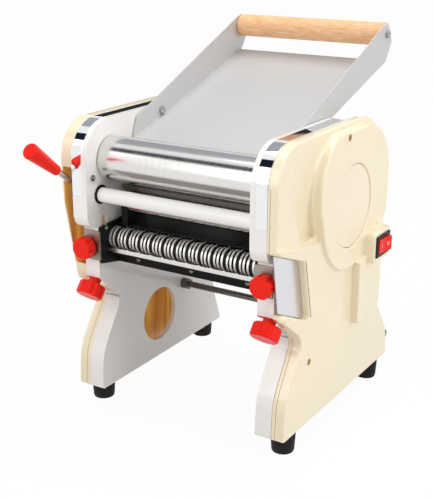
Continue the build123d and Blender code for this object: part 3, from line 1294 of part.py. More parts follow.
def feed_roller_blocks():
    """Bearing blocks that stand on the upper comb plate."""
    deck = comb_top() + COMB_T
    out = FEED_HALF + FEED_BLOCK_W
    foot = block(FEED_HALF, out, FEED_Y - FEED_R, FEED_Y + FEED_R, deck - COMB_T, FEED_Z)
    foot = foot + rod_x(FEED_Y, FEED_Z, FEED_R, FEED_HALF, out)
    below = deck - FEED_R
    under = [(CUT_Y - CUT_DISC_R, deck, 0), (CUT_Y + COMB_BACK, deck, 0), (REAR_CUT_Y, deck + COMB_RISE, 0),
             (REAR_CUT_Y, below, 0), (CUT_Y - CUT_DISC_R, below, 0)]
    foot = foot - slab(under, FEED_HALF - OVER, out + OVER)
    return both(foot - rod_x(FEED_Y, FEED_Z, FEED_PIN_R + RUN_CLR, FEED_HALF - OVER, out + OVER))


def knob(hub_t, thick, radius):
    """Fluted thumb knob with its stud, pointing up from the origin."""
    head = Pos(0, 0, hub_t) * Cylinder(radius, thick, align=UPWARD)
    head = chamfer(head.edges().filter_by(GeomType.CIRCLE), KNOB_EDGE)
    for i in range(KNOB_FLUTES):
        turn = 2 * pi * i / KNOB_FLUTES
        reach = radius + KNOB_FLUTE_R * 0.5
        head = head - Pos(reach * cos(turn), reach * sin(turn), 0) * Cylinder(KNOB_FLUTE_R, 4 * thick)
    hub = Cylinder(KNOB_HUB_R, hub_t + OVER, align=UPWARD)
    stud = Pos(0, 0, -KNOB_STUD_L) * Cylinder(KNOB_STUD_R, KNOB_STUD_L + hub_t + OVER, align=UPWARD)
    return head + hub + stud


def upper_knob():
    place = Plane(origin=(KNOB_X, NECK_Y - BRACKET_T, UPPER_KNOB_Z), z_dir=(0, -1, 0))
    return place * knob(KNOB_HUB_T, KNOB_T, KNOB_R)


def lower_knob_room():
    """Space that the lower knob turns in."""
    base = hook_base()
    out = base + knob_axis_lower() * (LOWER_HUB_T + LOWER_KNOB_T + SIDE_CLR)
    radius = LOWER_KNOB_R + 2 * SIDE_CLR
    return rod_between((KNOB_X, base.Y, base.Z), (KNOB_X, out.Y, out.Z), radius, radius)


def lower_knob():
    base = hook_base()
    axis = knob_axis_lower()
    place = Plane(origin=(KNOB_X, base.Y, base.Z), z_dir=axis)
    return place * knob(LOWER_HUB_T, LOWER_KNOB_T, LOWER_KNOB_R)


def wing_corners():
    rear_top = HANDLE_Z + HANDLE_R
    return [
        (TRAY_FRONT_Y, TRAY_FRONT_Z, 0),
        (WING_FRONT_Y, WING_FRONT_Z, WING_R),
        (WING_BEND_Y, WING_BEND_Z, WING_R),
        (HANDLE_Y - HANDLE_R, rear_top - WING_TOP_DROP, WING_R),
        (HANDLE_Y, rear_top, WING_R),
        (WING_BACK_Y, HANDLE_Z - WING_BACK_DOWN, WING_R),
        (TRAY_REAR_Y, TRAY_REAR_Z, 0),
    ]


def tray_sheet():
    """Folded steel chute: sloping floor and two side wings."""
    solid = slab(wing_corners(), -TRAY_OUT, TRAY_OUT)
    half = TRAY_OUT - TRAY_T
    before = TRAY_FRONT_Y - TRAY_RUN
    after = TRAY_REAR_Y + TRAY_RUN
    above = HANDLE_Z + TRAY_RUN
    low = TRAY_FRONT_Z - TRAY_CLIMB + TRAY_DROP
    high = TRAY_REAR_Z + TRAY_CLIMB + TRAY_DROP
    floor_line = [(before, low, 0), (after, high, 0), (after, above, 0), (before, above, 0)]
    solid = solid - slab(floor_line, -half, half)
    solid = solid - block(-half, half, TRAY_REAR_Y, after, TRAY_FRONT_Z, above)
    for y, z, radius in ((PIVOT_Y, PIVOT_Z, PIVOT_R + RUN_CLR), (HANDLE_Y, HANDLE_Z, TIE_SHANK_R)):
        hole = rod_x(y, z, radius, half - OVER, TRAY_OUT + OVER)
        solid = solid - hole - flip(hole)
    return solid


def tray_handle():
    half = TRAY_OUT - TRAY_T
    bar = rod_x(HANDLE_Y, HANDLE_Z, HANDLE_R - HANDLE_GAP, -half, half)
    hole = rod_x(HANDLE_Y, HANDLE_Z, TIE_SHANK_R, half - TIE_SHANK_L, half + 1)
    return bar - hole - flip(hole)


def tray_handle_screws():
    screw = rod_x(HANDLE_Y, HANDLE_Z, TIE_SCREW_R, TRAY_OUT, TRAY_OUT + TIE_SCREW_T)
    start = TRAY_OUT - TIE_SHANK_L + 2 * OVER
    return both(screw + rod_x(HANDLE_Y, HANDLE_Z, TIE_SHANK_R - SEAT_CLR, start, TRAY_OUT))


def tray_pivot_screws():
    inner = TRAY_OUT - TRAY_T
    screw = rod_x(PIVOT_Y, PIVOT_Z, PIVOT_HEAD_R, inner - PIVOT_HEAD_T, inner - SLIDE_CLR)
    screw = screw + rod_x(PIVOT_Y, PIVOT_Z, PIVOT_R - SEAT_CLR, inner - PIVOT_HEAD_T, PANEL_OUT)
    return both(screw + rod_x(PIVOT_Y, PIVOT_Z, PIVOT_HEAD_R, TRAY_OUT + SLIDE_CLR, FRAME_IN))


def switch_bezel():
    """Bezel flange and switch body behind it."""
    rim = block(POD_OUT, POD_OUT + BEZEL_T, SWITCH_Y - BEZEL_HALF_Y, SWITCH_Y + BEZEL_HALF_Y,
                SWITCH_Z - BEZEL_HALF_Z, SWITCH_Z + BEZEL_HALF_Z)
    body = block(SWITCH_IN, POD_OUT, SWITCH_Y - BEZEL_HALF_Y + BEZEL_T + SEAT_CLR,
                 SWITCH_Y + BEZEL_HALF_Y - BEZEL_T - SEAT_CLR, SWITCH_Z - BEZEL_HALF_Z + BEZEL_T + SEAT_CLR,
                 SWITCH_Z + BEZEL_HALF_Z - BEZEL_T - SEAT_CLR)
    room_y = ROCKER_HALF_Y + ROCKER_RISE * sin(radians(ROCKER_TILT)) + SIDE_CLR
    deep = ROCKER_DROP + ROCKER_HALF_Y * sin(radians(ROCKER_TILT)) + SIDE_CLR
    room = block(POD_OUT - deep, POD_OUT + BEZEL_T + 1, SWITCH_Y - room_y, SWITCH_Y + room_y,
                 SWITCH_Z - ROCKER_HALF_Z - SIDE_CLR, SWITCH_Z + ROCKER_HALF_Z + SIDE_CLR)
    pin = Pos(POD_OUT, SWITCH_Y, SWITCH_Z) * Cylinder(ROCKER_PIN_R + RUN_CLR, 2 * ROCKER_HALF_Z + 4)
    return rim + body - room - pin


def switch_rocker():
    """Red rocker, front edge pressed, turning about an upright pin."""
    shape = block(-ROCKER_DROP, ROCKER_RISE, -ROCKER_HALF_Y, ROCKER_HALF_Y, -ROCKER_HALF_Z, ROCKER_HALF_Z)
    dish = Pos(ROCKER_RISE + ROCKER_DISH - OVER, 0, 0) * Cylinder(ROCKER_DISH, 4 * ROCKER_HALF_Z)
    shape = shape - dish
    shape = shape + Cylinder(ROCKER_PIN_R, 2 * ROCKER_HALF_Z + 3)
    return Pos(POD_OUT, SWITCH_Y, SWITCH_Z) * Rot(0, 0, -ROCKER_TILT) * shape


def cable_gland():
    """Ribless strain relief that ends where the cord would start."""
    rear = COVER_LEG_REAR_Y - GLAND_SINK
    head = rod_between((GLAND_X, rear, GLAND_Z), (GLAND_X, rear + GLAND_L, GLAND_Z), GLAND_HEAD_R, GLAND_R)
    stem = rod_between((GLAND_X, rear - GLAND_STEM_L, GLAND_Z), (GLAND_X, rear + OVER, GLAND_Z),
                       GLAND_R - SEAT_CLR, GLAND_R - SEAT_CLR)
    return head - slab(cover_corners(), COVER_IN, COVER_OUT) + stem


def build():
    nodes = {
        "left_side_frame": side_frame(False),
        "right_side_frame": side_frame(True),
        "left_chrome_band": flip(chrome_band()),
        "right_chrome_band": chrome_band(),
        "left_cover": left_cover(),
        "right_cover": right_cover(),
        "drum_cap": drum_cap(),
        "cutter_access_plate": access_plate(),
        "rubber_feet": rubber_feet(),
        "foot_screws": foot_screws(),
        "lower_tie_rod": tie_rod(TIE_Y, TIE_Z, TIE_R),
        "tray_rest_rod": tie_rod(REST_Y, REST_Z, REST_R),
        "tie_rod_collars": tie_rod_collars(),
        "tie_rod_screws": tie_rod_screws(),
        "cover_screws": cover_screws(),
        "head_screws": head_screws(),
        "motor": motor(),
        "motor_shaft": motor_shaft(),
        "motor_gear": motor_gear(),
        "roller_bushes": roller_bushes(),
        "front_press_roller": front_press_roller(),
        "front_roller_gear": front_roller_gear(),
        "roller_drive_gear": roller_drive_gear(),
        "rear_bearing_blocks": rear_bearing_blocks(),
        "rear_press_roller": rear_press_roller(),
        "rear_roller_gear": rear_roller_gear(),
        "gap_shaft": gap_shaft(),
        "gap_cams": gap_cams(),
        "lever_arm": lever_arm(),
        "lever_grip": lever_grip(),
        "idler_gear": idler_gear(),
        "cutter_idler_gear": cutter_idler_gear(),
        "gear_studs": gear_studs(),
        "guide_rod": guide_rod(),
        "guide_rod_rings": guide_rod_rings(),
        "front_cutter_roller": front_cutter_roller(),
        "front_cutter_gear": front_cutter_gear(),
        "rear_cutter_roller": rear_cutter_roller(),
        "rear_cutter_gear": rear_cutter_gear(),
        "cutter_drive_gear": cutter_drive_gear(),
        "cutter_end_plates": cutter_end_plates(),
        "cutter_hook_pin": cutter_hook_pin(),
        "cutter_clamp_brackets": cutter_clamp_brackets(),
        "cutter_upper_comb": cutter_upper_comb(),
        "cutter_lower_comb": cutter_lower_comb(),
        "cutter_angle_bar": cutter_angle_bar(),
        "angle_bar_screws": angle_bar_screws(),
        "feed_roller": feed_roller(),
        "feed_roller_blocks": feed_roller_blocks(),
        "upper_left_knob": flip(upper_knob()),
        "upper_right_knob": upper_knob(),
        "lower_left_knob": flip(lower_knob()),
        "lower_right_knob": lower_knob(),
        "tray_sheet": tray_sheet(),
        "tray_handle": tray_handle(),
        "tray_handle_screws": tray_handle_screws(),
        "tray_pivot_screws": tray_pivot_screws(),
        "switch_bezel": switch_bezel(),
        "switch_rocker": switch_rocker(),
        "cable_gland": cable_gland(),
    }
    return nodes


def main():
    nodes = build()
    boxes = [shape.bounding_box() for shape in nodes.values()]
    low_x = min(box.min.X for box in boxes)
    high_x = max(box.max.X for box in boxes)
    low_y = min(box.min.Y for box in boxes)
    high_y = max(box.max.Y for box in boxes)
    low_z = min(box.min.Z for box in boxes)
    shift = Pos(-(low_x + high_x) / 2, -(low_y + high_y) / 2, -low_z)
    os.makedirs("parts", exist_ok=True)
    for name, shape in nodes.items():
        export_step(shift * shape, os.path.join("parts", name + ".step"))
    print("moved by", -(low_x + high_x) / 2, -(low_y + high_y) / 2, -low_z)
    print("size", high_x - low_x, high_y - low_y)


if __name__ == "__main__":
    main()
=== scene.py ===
"""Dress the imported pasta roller: moulded covers, press rollers, noodle cutter, feed tray and studio."""

import json
import logging
import math
from dataclasses import dataclass
from enum import Enum
from typing import Callable, Optional, Sequence

import bpy
from mathutils import Matrix, Vector
from mathutils.bvhtree import BVHTree


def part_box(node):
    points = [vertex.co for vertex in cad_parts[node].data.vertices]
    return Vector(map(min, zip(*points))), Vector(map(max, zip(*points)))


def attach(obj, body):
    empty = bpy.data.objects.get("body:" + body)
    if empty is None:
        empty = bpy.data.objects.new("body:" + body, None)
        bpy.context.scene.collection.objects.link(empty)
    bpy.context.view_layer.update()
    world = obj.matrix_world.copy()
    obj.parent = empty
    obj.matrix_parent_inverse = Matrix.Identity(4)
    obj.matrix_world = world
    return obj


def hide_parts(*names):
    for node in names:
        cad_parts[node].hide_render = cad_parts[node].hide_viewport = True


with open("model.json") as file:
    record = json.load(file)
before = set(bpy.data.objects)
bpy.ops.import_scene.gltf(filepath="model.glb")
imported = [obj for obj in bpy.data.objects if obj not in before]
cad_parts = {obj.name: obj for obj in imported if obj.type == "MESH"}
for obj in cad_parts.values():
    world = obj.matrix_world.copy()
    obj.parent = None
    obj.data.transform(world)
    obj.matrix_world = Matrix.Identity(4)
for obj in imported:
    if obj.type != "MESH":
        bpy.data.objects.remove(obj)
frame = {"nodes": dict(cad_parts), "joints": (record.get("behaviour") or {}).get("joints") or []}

logging.basicConfig(level=logging.INFO, format="%(message)s")
LOG = logging.getLogger("pasta_roller")
Piece = bpy.types.Object
Socket = bpy.types.NodeSocket
Colour = tuple[float, float, float]
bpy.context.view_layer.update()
# Points nearer than MERGE are one, faces flatter than FLAT are joined, edges sharper than SHARP are rounded
MERGE = 0.000002
FLAT = math.radians(0.4)
SHARP = math.radians(32.0)


class Body(str, Enum):
    """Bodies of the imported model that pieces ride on."""

    FRAME = "machine_frame"
    FRONT_ROLLER = "front_roller"
    CARRIAGE = "rear_carriage"
    REAR_ROLLER = "rear_roller"
    LEVER = "gap_lever"
    GUIDE_ROD = "guide_rod"
    FRONT_CUTTER = "front_cutter"
    REAR_CUTTER = "rear_cutter"
    FEED_ROLLER = "feed_roller"
    TRAY = "feed_tray"
    ROCKER = "rocker"
    UPPER_LEFT_KNOB = "upper_left_knob"
    UPPER_RIGHT_KNOB = "upper_right_knob"
    LOWER_LEFT_KNOB = "lower_left_knob"
    LOWER_RIGHT_KNOB = "lower_right_knob"


class Slot(str, Enum):
    """Material slots of the record, passed along with the new pieces."""

    FRAME_WHITE = "frame_white"
    CHROME = "chrome"
    COVER_CREAM = "cover_cream"
    STEEL = "steel"
    ROLLER_STEEL = "roller_steel"
    ROD_WHITE = "rod_white"
    KNOB_RED = "knob_red"
    BLACK_METAL = "black_metal"
    BLACK_PLASTIC = "black_plastic"
    FOOT_RUBBER = "foot_rubber"
    BEECH = "beech"
    BUSH_BRONZE = "bush_bronze"


class NodeSheet:
    """A material's node tree that is filled step by step."""

    def __init__(self, name: str) -> None:
        """Start an empty tree with an output and a Principled shader.

        Args:
            name: Name of the material.
        """
        self.material = bpy.data.materials.new(name)
        self.material.use_nodes = True
        self.tree = self.material.node_tree
        self.tree.nodes.clear()
        self.output = self.tree.nodes.new("ShaderNodeOutputMaterial")
        self.shader = self.tree.nodes.new("ShaderNodeBsdfPrincipled")
        self.link(self.shader.outputs["BSDF"], self.output.inputs["Surface"])
        coords = self.tree.nodes.new("ShaderNodeTexCoord")
        self.place = coords.outputs["Object"]

    def link(self, start: Socket, end: Socket) -> None:
        """Join two sockets."""
        self.tree.links.new(start, end)

    def mapped(self, scale: Sequence[float]) -> Socket:
        """Stretch the object coordinates.

        Args:
            scale: Factor on each axis.

        Returns:
            The socket with the mapped coordinates.
        """
        node = self.tree.nodes.new("ShaderNodeMapping")
        node.inputs["Scale"].default_value = scale
        self.link(self.place, node.inputs["Vector"])
        return node.outputs["Vector"]

    def noise(self, scale: float, detail: float = 3.0, where: Optional[Socket] = None,
              distortion: float = 0.0) -> Socket:
        """Add a noise texture.

        Args:
            scale: Cells per metre.
            detail: Octaves of detail.
            where: Coordinates, or None for plain object coordinates.
            distortion: Amount of warp.

        Returns:
            The noise value socket.
        """
        node = self.tree.nodes.new("ShaderNodeTexNoise")
        node.inputs["Scale"].default_value = scale
        node.inputs["Detail"].default_value = detail
        node.inputs["Distortion"].default_value = distortion
        self.link(where or self.place, node.inputs["Vector"])
        return node.outputs["Fac"]

    def ramp(self, value: Socket, low: Colour, high: Colour, start: float = 0.3,
             end: float = 0.7) -> Socket:
        """Map a value to a blend of two colours.

        Args:
            value: Driving value.
            low: Colour at and below start.
            high: Colour at and above end.
            start: Lower end of the blend.
            end: Upper end of the blend.

        Returns:
            The colour socket.
        """
        node = self.tree.nodes.new("ShaderNodeValToRGB")
        node.color_ramp.elements[0].position = start
        node.color_ramp.elements[0].color = (*low, 1.0)
        node.color_ramp.elements[1].position = end
        node.color_ramp.elements[1].color = (*high, 1.0)
        self.link(value, node.inputs["Fac"])
        return node.outputs["Color"]

    def spread(self, value: Socket, low: float, high: float, start: float = 0.3,
               end: float = 0.7) -> Socket:
        """Map the middle of a noise, or another stretch of a value, to a range of numbers.

        Args:
            value: Driving value.
            low: Result at and below start.
            high: Result at and above end.
            start: Lower end of the stretch.
            end: Upper end of the stretch.

        Returns:
            The number socket.
        """
        node = self.tree.nodes.new("ShaderNodeMapRange")
        node.inputs["From Min"].default_value = start
        node.inputs["From Max"].default_value = end
        node.inputs["To Min"].default_value = low
        node.inputs["To Max"].default_value = high
        self.link(value, node.inputs["Value"])
        return node.outputs["Result"]

    def radius(self, centre: tuple[float, float]) -> Socket:
        """Give the distance from an axis that runs along X.

        Args:
            centre: Where the axis passes, as Y and Z.

        Returns:
            The distance socket in metres.
        """
        across = self.tree.nodes.new("ShaderNodeVectorMath")
        across.operation = "MULTIPLY_ADD"
        across.inputs[1].default_value = (0.0, 1.0, 1.0)
        across.inputs[2].default_value = (0.0, -centre[0], -centre[1])
        self.link(self.place, across.inputs[0])
        length = self.tree.nodes.new("ShaderNodeVectorMath")
        length.operation = "LENGTH"
        self.link(across.outputs["Vector"], length.inputs[0])
        return length.outputs["Value"]

    def bump(self, value: Socket, height: float) -> None:
        """Feed a value to the shader as relief.

        Args:
            value: Height pattern.
            height: Depth of the relief in metres.
        """
        node = self.tree.nodes.new("ShaderNodeBump")
        node.inputs["Distance"].default_value = height
        self.link(value, node.inputs["Height"])
        self.link(node.outputs["Normal"], self.shader.inputs["Normal"])

    def set(self, **values: float) -> None:
        """Set plain values on the shader's own sockets, underscores standing for spaces."""
        for name, value in values.items():
            self.shader.inputs[name.replace("_", " ")].default_value = value


@dataclass(frozen=True)
class Finish:
    """A surface finish that becomes one node material."""

    name: str
    colour: Colour
    shade: Colour
    roughness: tuple[float, float] = (0.3, 0.4)
    metallic: float = 0.0
    coat: float = 0.0
    cells: float = 900.0
    relief: float = 0.00002
    specular: float = 0.5
    glow: float = 0.0
    clouds: float = 22.0

    def pattern(self, sheet: NodeSheet) -> tuple[Socket, Socket]:
        """Give the broad colour pattern and the fine grain of the surface.

        Args:
            sheet: Node tree that is being filled.

        Returns:
            Broad pattern and fine grain.
        """
        return sheet.noise(self.clouds, detail=4.0), sheet.noise(self.cells, detail=2.0)

    def material(self) -> bpy.types.Material:
        """Build the material once and hand out the same one afterwards.

        Returns:
            The material of this finish.
        """
        found = bpy.data.materials.get(self.name)
        if found is not None:
            return found
        sheet = NodeSheet(self.name)
        broad, grain = self.pattern(sheet)
        tint = sheet.ramp(broad, self.shade, self.colour)
        sheet.link(tint, sheet.shader.inputs["Base Color"])
        # A glow is painted light: the surface shines though it is no lamp
        if self.glow:
            sheet.link(tint, sheet.shader.inputs["Emission Color"])
            sheet.set(Emission_Strength=self.glow)
        sheet.link(sheet.spread(grain, *self.roughness), sheet.shader.inputs["Roughness"])
        sheet.set(Metallic=self.metallic, Coat_Weight=self.coat, Specular_IOR_Level=self.specular)
        sheet.bump(grain, self.relief)
        return sheet.material


@dataclass(frozen=True)
class Brushed(Finish):
    """Metal with fine lines that run along one axis."""

    along: tuple[float, float, float] = (1.0, 0.03, 1.0)

    def pattern(self, sheet: NodeSheet) -> tuple[Socket, Socket]:
        """Give long fine lines for both the colour and the grain."""
        lines = sheet.noise(self.cells, where=sheet.mapped(self.along))
        return lines, lines


@dataclass(frozen=True)
class Wood(Finish):
    """Pale hardwood with its grain along the piece and short dark flecks."""

    bands: float = 620.0
    flecks: float = 1400.0
    band_draw: tuple[float, float, float] = (0.13, 1.0, 1.0)
    fleck_draw: tuple[float, float, float] = (0.08, 1.0, 1.0)
    warp: float = 0.4

    def pattern(self, sheet: NodeSheet) -> tuple[Socket, Socket]:
        """Give long grain bands and short flecks."""
        bands = sheet.noise(self.bands, detail=6.0, where=sheet.mapped(self.band_draw), distortion=self.warp)
        return bands, sheet.noise(self.flecks, detail=2.0, where=sheet.mapped(self.fleck_draw))


@dataclass(frozen=True)
class Ridged(Finish):
    """Turned steel with bright ridges and grooves painted black as painted shade."""

    centre: tuple[float, float] = (0.0, 0.0)
    groove: float = 0.0105
    rim: float = 0.0113
    painted_shade_span: tuple[float, float] = (0.25, 0.75)
    along: tuple[float, float, float] = (1.0, 0.04, 0.04)

    def pattern(self, sheet: NodeSheet) -> tuple[Socket, Socket]:
        """Give the painted shade from groove to ridge and the turning lines."""
        lines = sheet.noise(self.cells, where=sheet.mapped(self.along))
        return sheet.spread(sheet.radius(self.centre), *self.painted_shade_span, self.groove, self.rim), lines


class Finishes:
    """All finishes of the machine."""

    COVER = Finish("cover_cream_gloss", (0.930, 0.830, 0.620), (0.920, 0.815, 0.600), (0.18, 0.24), coat=0.4,
                   relief=0.000004)
    CAP = Finish("cap_cream_gloss", (0.940, 0.835, 0.655), (0.932, 0.824, 0.640), (0.26, 0.32), coat=0.2,
                 relief=0.000006)
    # Gold for the hollow side of the covers; its glow is painted light that lifts it out of its shade
    INSIDE = Brushed("cover_inside_gold", (0.84, 0.500, 0.090), (0.42, 0.110, 0.035), (0.30, 0.42),
                     cells=90.0, relief=0.000006, along=(0.02, 1.0, 0.06), glow=0.26)
    FRAME = Finish("frame_white_enamel", (0.915, 0.905, 0.890), (0.895, 0.880, 0.860), (0.18, 0.26), coat=0.4)
    CHROME = Finish("band_chrome", (0.86, 0.87, 0.885), (0.82, 0.83, 0.845), (0.03, 0.06), 1.0,
                    cells=260.0, relief=0.00001)
    HOOK = Finish("hook_bright_metal", (0.80, 0.80, 0.80), (0.74, 0.74, 0.74), (0.10, 0.16), 1.0)
    STEEL = Brushed("sheet_steel_satin", (0.61, 0.61, 0.612), (0.59, 0.59, 0.592), (0.50, 0.56), 0.6,
                    cells=2600.0, relief=0.000002, along=(0.02, 1.0, 1.0))
    SCREW = Finish("screw_steel_dark", (0.46, 0.455, 0.45), (0.36, 0.355, 0.35), (0.18, 0.30), 1.0)
    BRIGHT = Finish("screw_steel", (0.74, 0.73, 0.71), (0.64, 0.63, 0.61), (0.16, 0.28), 1.0)
    ROLLER = Brushed("roller_steel_ground", (0.79, 0.780, 0.765), (0.72, 0.710, 0.695), (0.15, 0.23), 1.0,
                     cells=2400.0, relief=0.000002, along=(1.0, 0.02, 0.02))
    # Ground steel painted dark as painted shade, for the rear roller under the front one and the tie rod
    SHADED_STEEL = Brushed("roller_steel_painted_shade", (0.17, 0.155, 0.145), (0.12, 0.108, 0.100), (0.24, 0.36), 1.0,
                  cells=2400.0, relief=0.000002, along=(1.0, 0.02, 0.02))
    BRACKET = Finish("bracket_steel_dull", (0.40, 0.365, 0.32), (0.32, 0.285, 0.245), (0.34, 0.48), 1.0)
    PLATE = Brushed("access_plate_steel", (0.76, 0.745, 0.775), (0.73, 0.715, 0.745), (0.22, 0.28), 1.0,
                    cells=1800.0, relief=0.000002, along=(1.0, 1.0, 0.03))
    STRIP = Finish("comb_strip_steel", (0.86, 0.85, 0.83), (0.80, 0.79, 0.77), (0.22, 0.32), 1.0)
    ROD = Finish("rod_white_nylon", (0.94, 0.94, 0.925), (0.91, 0.91, 0.895), (0.30, 0.40), coat=0.2)
    RED = Finish("knob_red_gloss", (0.93, 0.018, 0.008), (0.86, 0.014, 0.006), (0.30, 0.40), specular=0.16)
    BLACK = Finish("black_enamel", (0.008, 0.0085, 0.008), (0.004, 0.004, 0.004), (0.40, 0.56), cells=1500.0,
                   relief=0.00008, specular=0.16)
    PLASTIC = Finish("black_plastic_satin", (0.008, 0.008, 0.009), (0.005, 0.005, 0.006), (0.34, 0.48),
                     specular=0.2)
    BRASS = Finish("screw_brass_dull", (0.42, 0.27, 0.09), (0.30, 0.18, 0.055), (0.34, 0.48), 0.8)
    # Tan painted shade for the fine grooves along the covers' lips
    GROOVE = Finish("lip_groove_painted_shade", (0.52, 0.42, 0.28), (0.45, 0.36, 0.23), (0.4, 0.6), specular=0.2)
    SEAM = Finish("seam_dark", (0.16, 0.12, 0.08), (0.11, 0.08, 0.05), (0.5, 0.7), specular=0.2)
    RUBBER = Finish("foot_rubber_black", (0.012, 0.010, 0.0095), (0.007, 0.006, 0.0055), (0.55, 0.75),
                    cells=2200.0, relief=0.00006, specular=0.2)
    BEECH = Wood("beech_oiled", (0.98, 0.640, 0.390), (0.78, 0.415, 0.195), (0.46, 0.58), relief=0.00002,
                 specular=0.18)
    GEAR = Finish("gear_steel_oiled", (0.42, 0.42, 0.43), (0.30, 0.30, 0.31), (0.26, 0.40), 1.0)
    BRONZE = Finish("bush_bronze_oiled", (0.62, 0.42, 0.17), (0.48, 0.32, 0.12), (0.28, 0.42), 1.0)
    MOTOR = Finish("motor_grey_paint", (0.16, 0.165, 0.175), (0.12, 0.125, 0.135), (0.38, 0.52), cells=1500.0)
    MARK = Finish("switch_mark_cream", (0.88, 0.84, 0.72), (0.84, 0.80, 0.68), (0.40, 0.50))


class Bench:
    """Modelling moves that the sub-assemblies share."""

    @staticmethod
    def clear() -> None:
        """Leave edit mode and deselect everything."""
        if bpy.context.mode != "OBJECT":
            bpy.ops.object.mode_set(mode="OBJECT")
        bpy.ops.object.select_all(action="DESELECT")

    @staticmethod
    def pick(*pieces: Piece) -> Piece:
        """Select only these pieces and make the first one active.

        Args:
            pieces: Pieces to select.

        Returns:
            The active piece.
        """
        Bench.clear()
        for piece in pieces:
            piece.select_set(True)
        bpy.context.view_layer.objects.active = pieces[0]
        return pieces[0]

    @staticmethod
    def edit(piece: Piece) -> None:
        """Enter edit mode on one piece with its whole mesh selected.

        Args:
            piece: Piece to edit.
        """
        Bench.pick(piece)
        bpy.ops.object.mode_set(mode="EDIT")
        bpy.ops.mesh.select_mode(type="VERT")
        bpy.ops.mesh.select_all(action="SELECT")

    @staticmethod
    def done() -> None:
        """Go back to object mode."""
        bpy.ops.object.mode_set(mode="OBJECT")

    @staticmethod
    def copy_node(node: str, name: str) -> Piece:
        """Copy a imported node's mesh, merge it and join its coplanar triangles.

        Args:
            node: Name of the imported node.
            name: Name of the new piece.

        Returns:
            The new piece.
        """
        piece = bpy.data.objects.new(name, frame["nodes"][node].data.copy())
        piece.data.name = name
        piece.data.materials.clear()
        bpy.context.scene.collection.objects.link(piece)
        Bench.pick(piece)
        bpy.ops.mesh.customdata_custom_splitnormals_clear()
        Bench.edit(piece)
        bpy.ops.mesh.remove_doubles(threshold=MERGE)
        bpy.ops.mesh.dissolve_limited(angle_limit=FLAT)
        Bench.done()
        return piece

    @staticmethod
    def apply(piece: Piece, kind: str, **settings: object) -> None:
        """Add a modifier, set it up and apply it.

        Args:
            piece: Piece that gets it.
            kind: Modifier type.
            settings: Values of the modifier's own fields.
        """
        Bench.pick(piece)
        modifier = piece.modifiers.new(kind.lower(), kind)
        for field, value in settings.items():
            setattr(modifier, field, value)
        bpy.ops.object.modifier_apply(modifier=modifier.name)

    @staticmethod
    def smooth(piece: Piece, angle: float) -> Piece:
        """Shade a piece smooth except along its sharper edges.

        Args:
            piece: Piece to shade.
            angle: Edges sharper than this in degrees stay crisp.

        Returns:
            The same piece.
        """
        Bench.pick(piece)
        bpy.ops.object.shade_smooth_by_angle(angle=math.radians(angle))
        return piece

    @staticmethod
    def bevel(piece: Piece, width: float, segments: int = 2) -> Piece:
        """Round all sharp edges.

        Args:
            piece: Piece to round.
            width: Width of the round in metres.
            segments: Faces across the round.

        Returns:
            The same piece.
        """
        Bench.apply(piece, "BEVEL", width=width, segments=segments, limit_method="ANGLE",
                    angle_limit=SHARP, miter_outer="MITER_ARC")
        Bench.smooth(piece, angle=40.0)
        Bench.apply(piece, "WEIGHTED_NORMAL", keep_sharp=True, weight=60)
        return piece

    @staticmethod
    def mould(piece: Piece, voxel: float, softness: Callable[[Vector], float], rounds: int,
              share: float, levels: int = 10) -> Piece:
        """Round a piece as a mould would, more where it is soft.

        Args:
            piece: Piece to round.
            voxel: Grid of the new mesh in metres.
            softness: Weight from 0 to 1 at a point.
            rounds: Smoothing steps.
            share: Share of the triangles that is kept.
            levels: Steps that the weights are rounded to.

        Returns:
            The same piece.
        """
        Bench.apply(piece, "REMESH", mode="VOXEL", voxel_size=voxel)
        group = piece.vertex_groups.new(name="soft")
        bins: dict[int, list[int]] = {}
        for vertex in piece.data.vertices:
            bins.setdefault(round(levels * softness(vertex.co)), []).append(vertex.index)
        for level, members in bins.items():
            group.add(members, level / levels, "REPLACE")
        Bench.apply(piece, "SMOOTH", factor=0.5, iterations=rounds, vertex_group="soft")
        piece.vertex_groups.clear()
        Bench.apply(piece, "DECIMATE", ratio=share)
        return Bench.smooth(piece, angle=60.0)

    @staticmethod
    def turned(name: str, profile: Sequence[tuple[float, float]], steps: int, closed: bool = False) -> Piece:
        """Spin a profile round the Z axis.

        Args:
            name: Name of the new piece.
            profile: Pairs of radius and height in metres.
            steps: Faces round the axis.
            closed: Whether the last point joins the first one.

        Returns:
            The new piece at the origin.
        """
        mesh = bpy.data.meshes.new(name)
        edges = [(i, i + 1) for i in range(len(profile) - 1)]
        if closed:
            edges.append((len(profile) - 1, 0))
        mesh.from_pydata([(radius, 0.0, height) for radius, height in profile], edges, [])
        piece = bpy.data.objects.new(name, mesh)
        bpy.context.scene.collection.objects.link(piece)
        Bench.edit(piece)
        bpy.ops.mesh.spin(steps=steps, angle=2 * math.pi, center=(0, 0, 0), axis=(0, 0, 1))
        bpy.ops.mesh.select_all(action="SELECT")
        bpy.ops.mesh.remove_doubles(threshold=MERGE)
        bpy.ops.mesh.normals_make_consistent(inside=False)
        Bench.done()
        return Bench.smooth(piece, angle=35.0)

    @staticmethod
    def plane(name: str, size: Sequence[float], cuts: int) -> Piece:
        """Lay a flat sheet at the origin.

        Args:
            name: Name of the sheet.
            size: Width and depth in metres.
            cuts: How often each side is divided.

        Returns:
            The sheet.
        """
        Bench.clear()
        bpy.ops.mesh.primitive_plane_add(size=1.0)
        plane = bpy.context.object
        plane.name = name
        bpy.ops.object.mode_set(mode="EDIT")
        bpy.ops.mesh.subdivide(number_cuts=cuts)
        bpy.ops.transform.resize(value=(*size, 1.0))
        Bench.done()
        return plane

    @staticmethod
    def stand(piece: Piece, foot: Vector, axis: Vector) -> Piece:
        """Move a piece from the origin so that its Z axis points along axis.

        Args:
            piece: Piece at the origin.
            foot: Where the origin goes.
            axis: Where the Z axis points.

        Returns:
            The same piece with its place in its mesh.
        """
        turn = axis.normalized().to_track_quat("Z", "Y").to_matrix().to_4x4()
        piece.data.transform(Matrix.Translation(foot) @ turn)
        piece.data.update()
        return piece

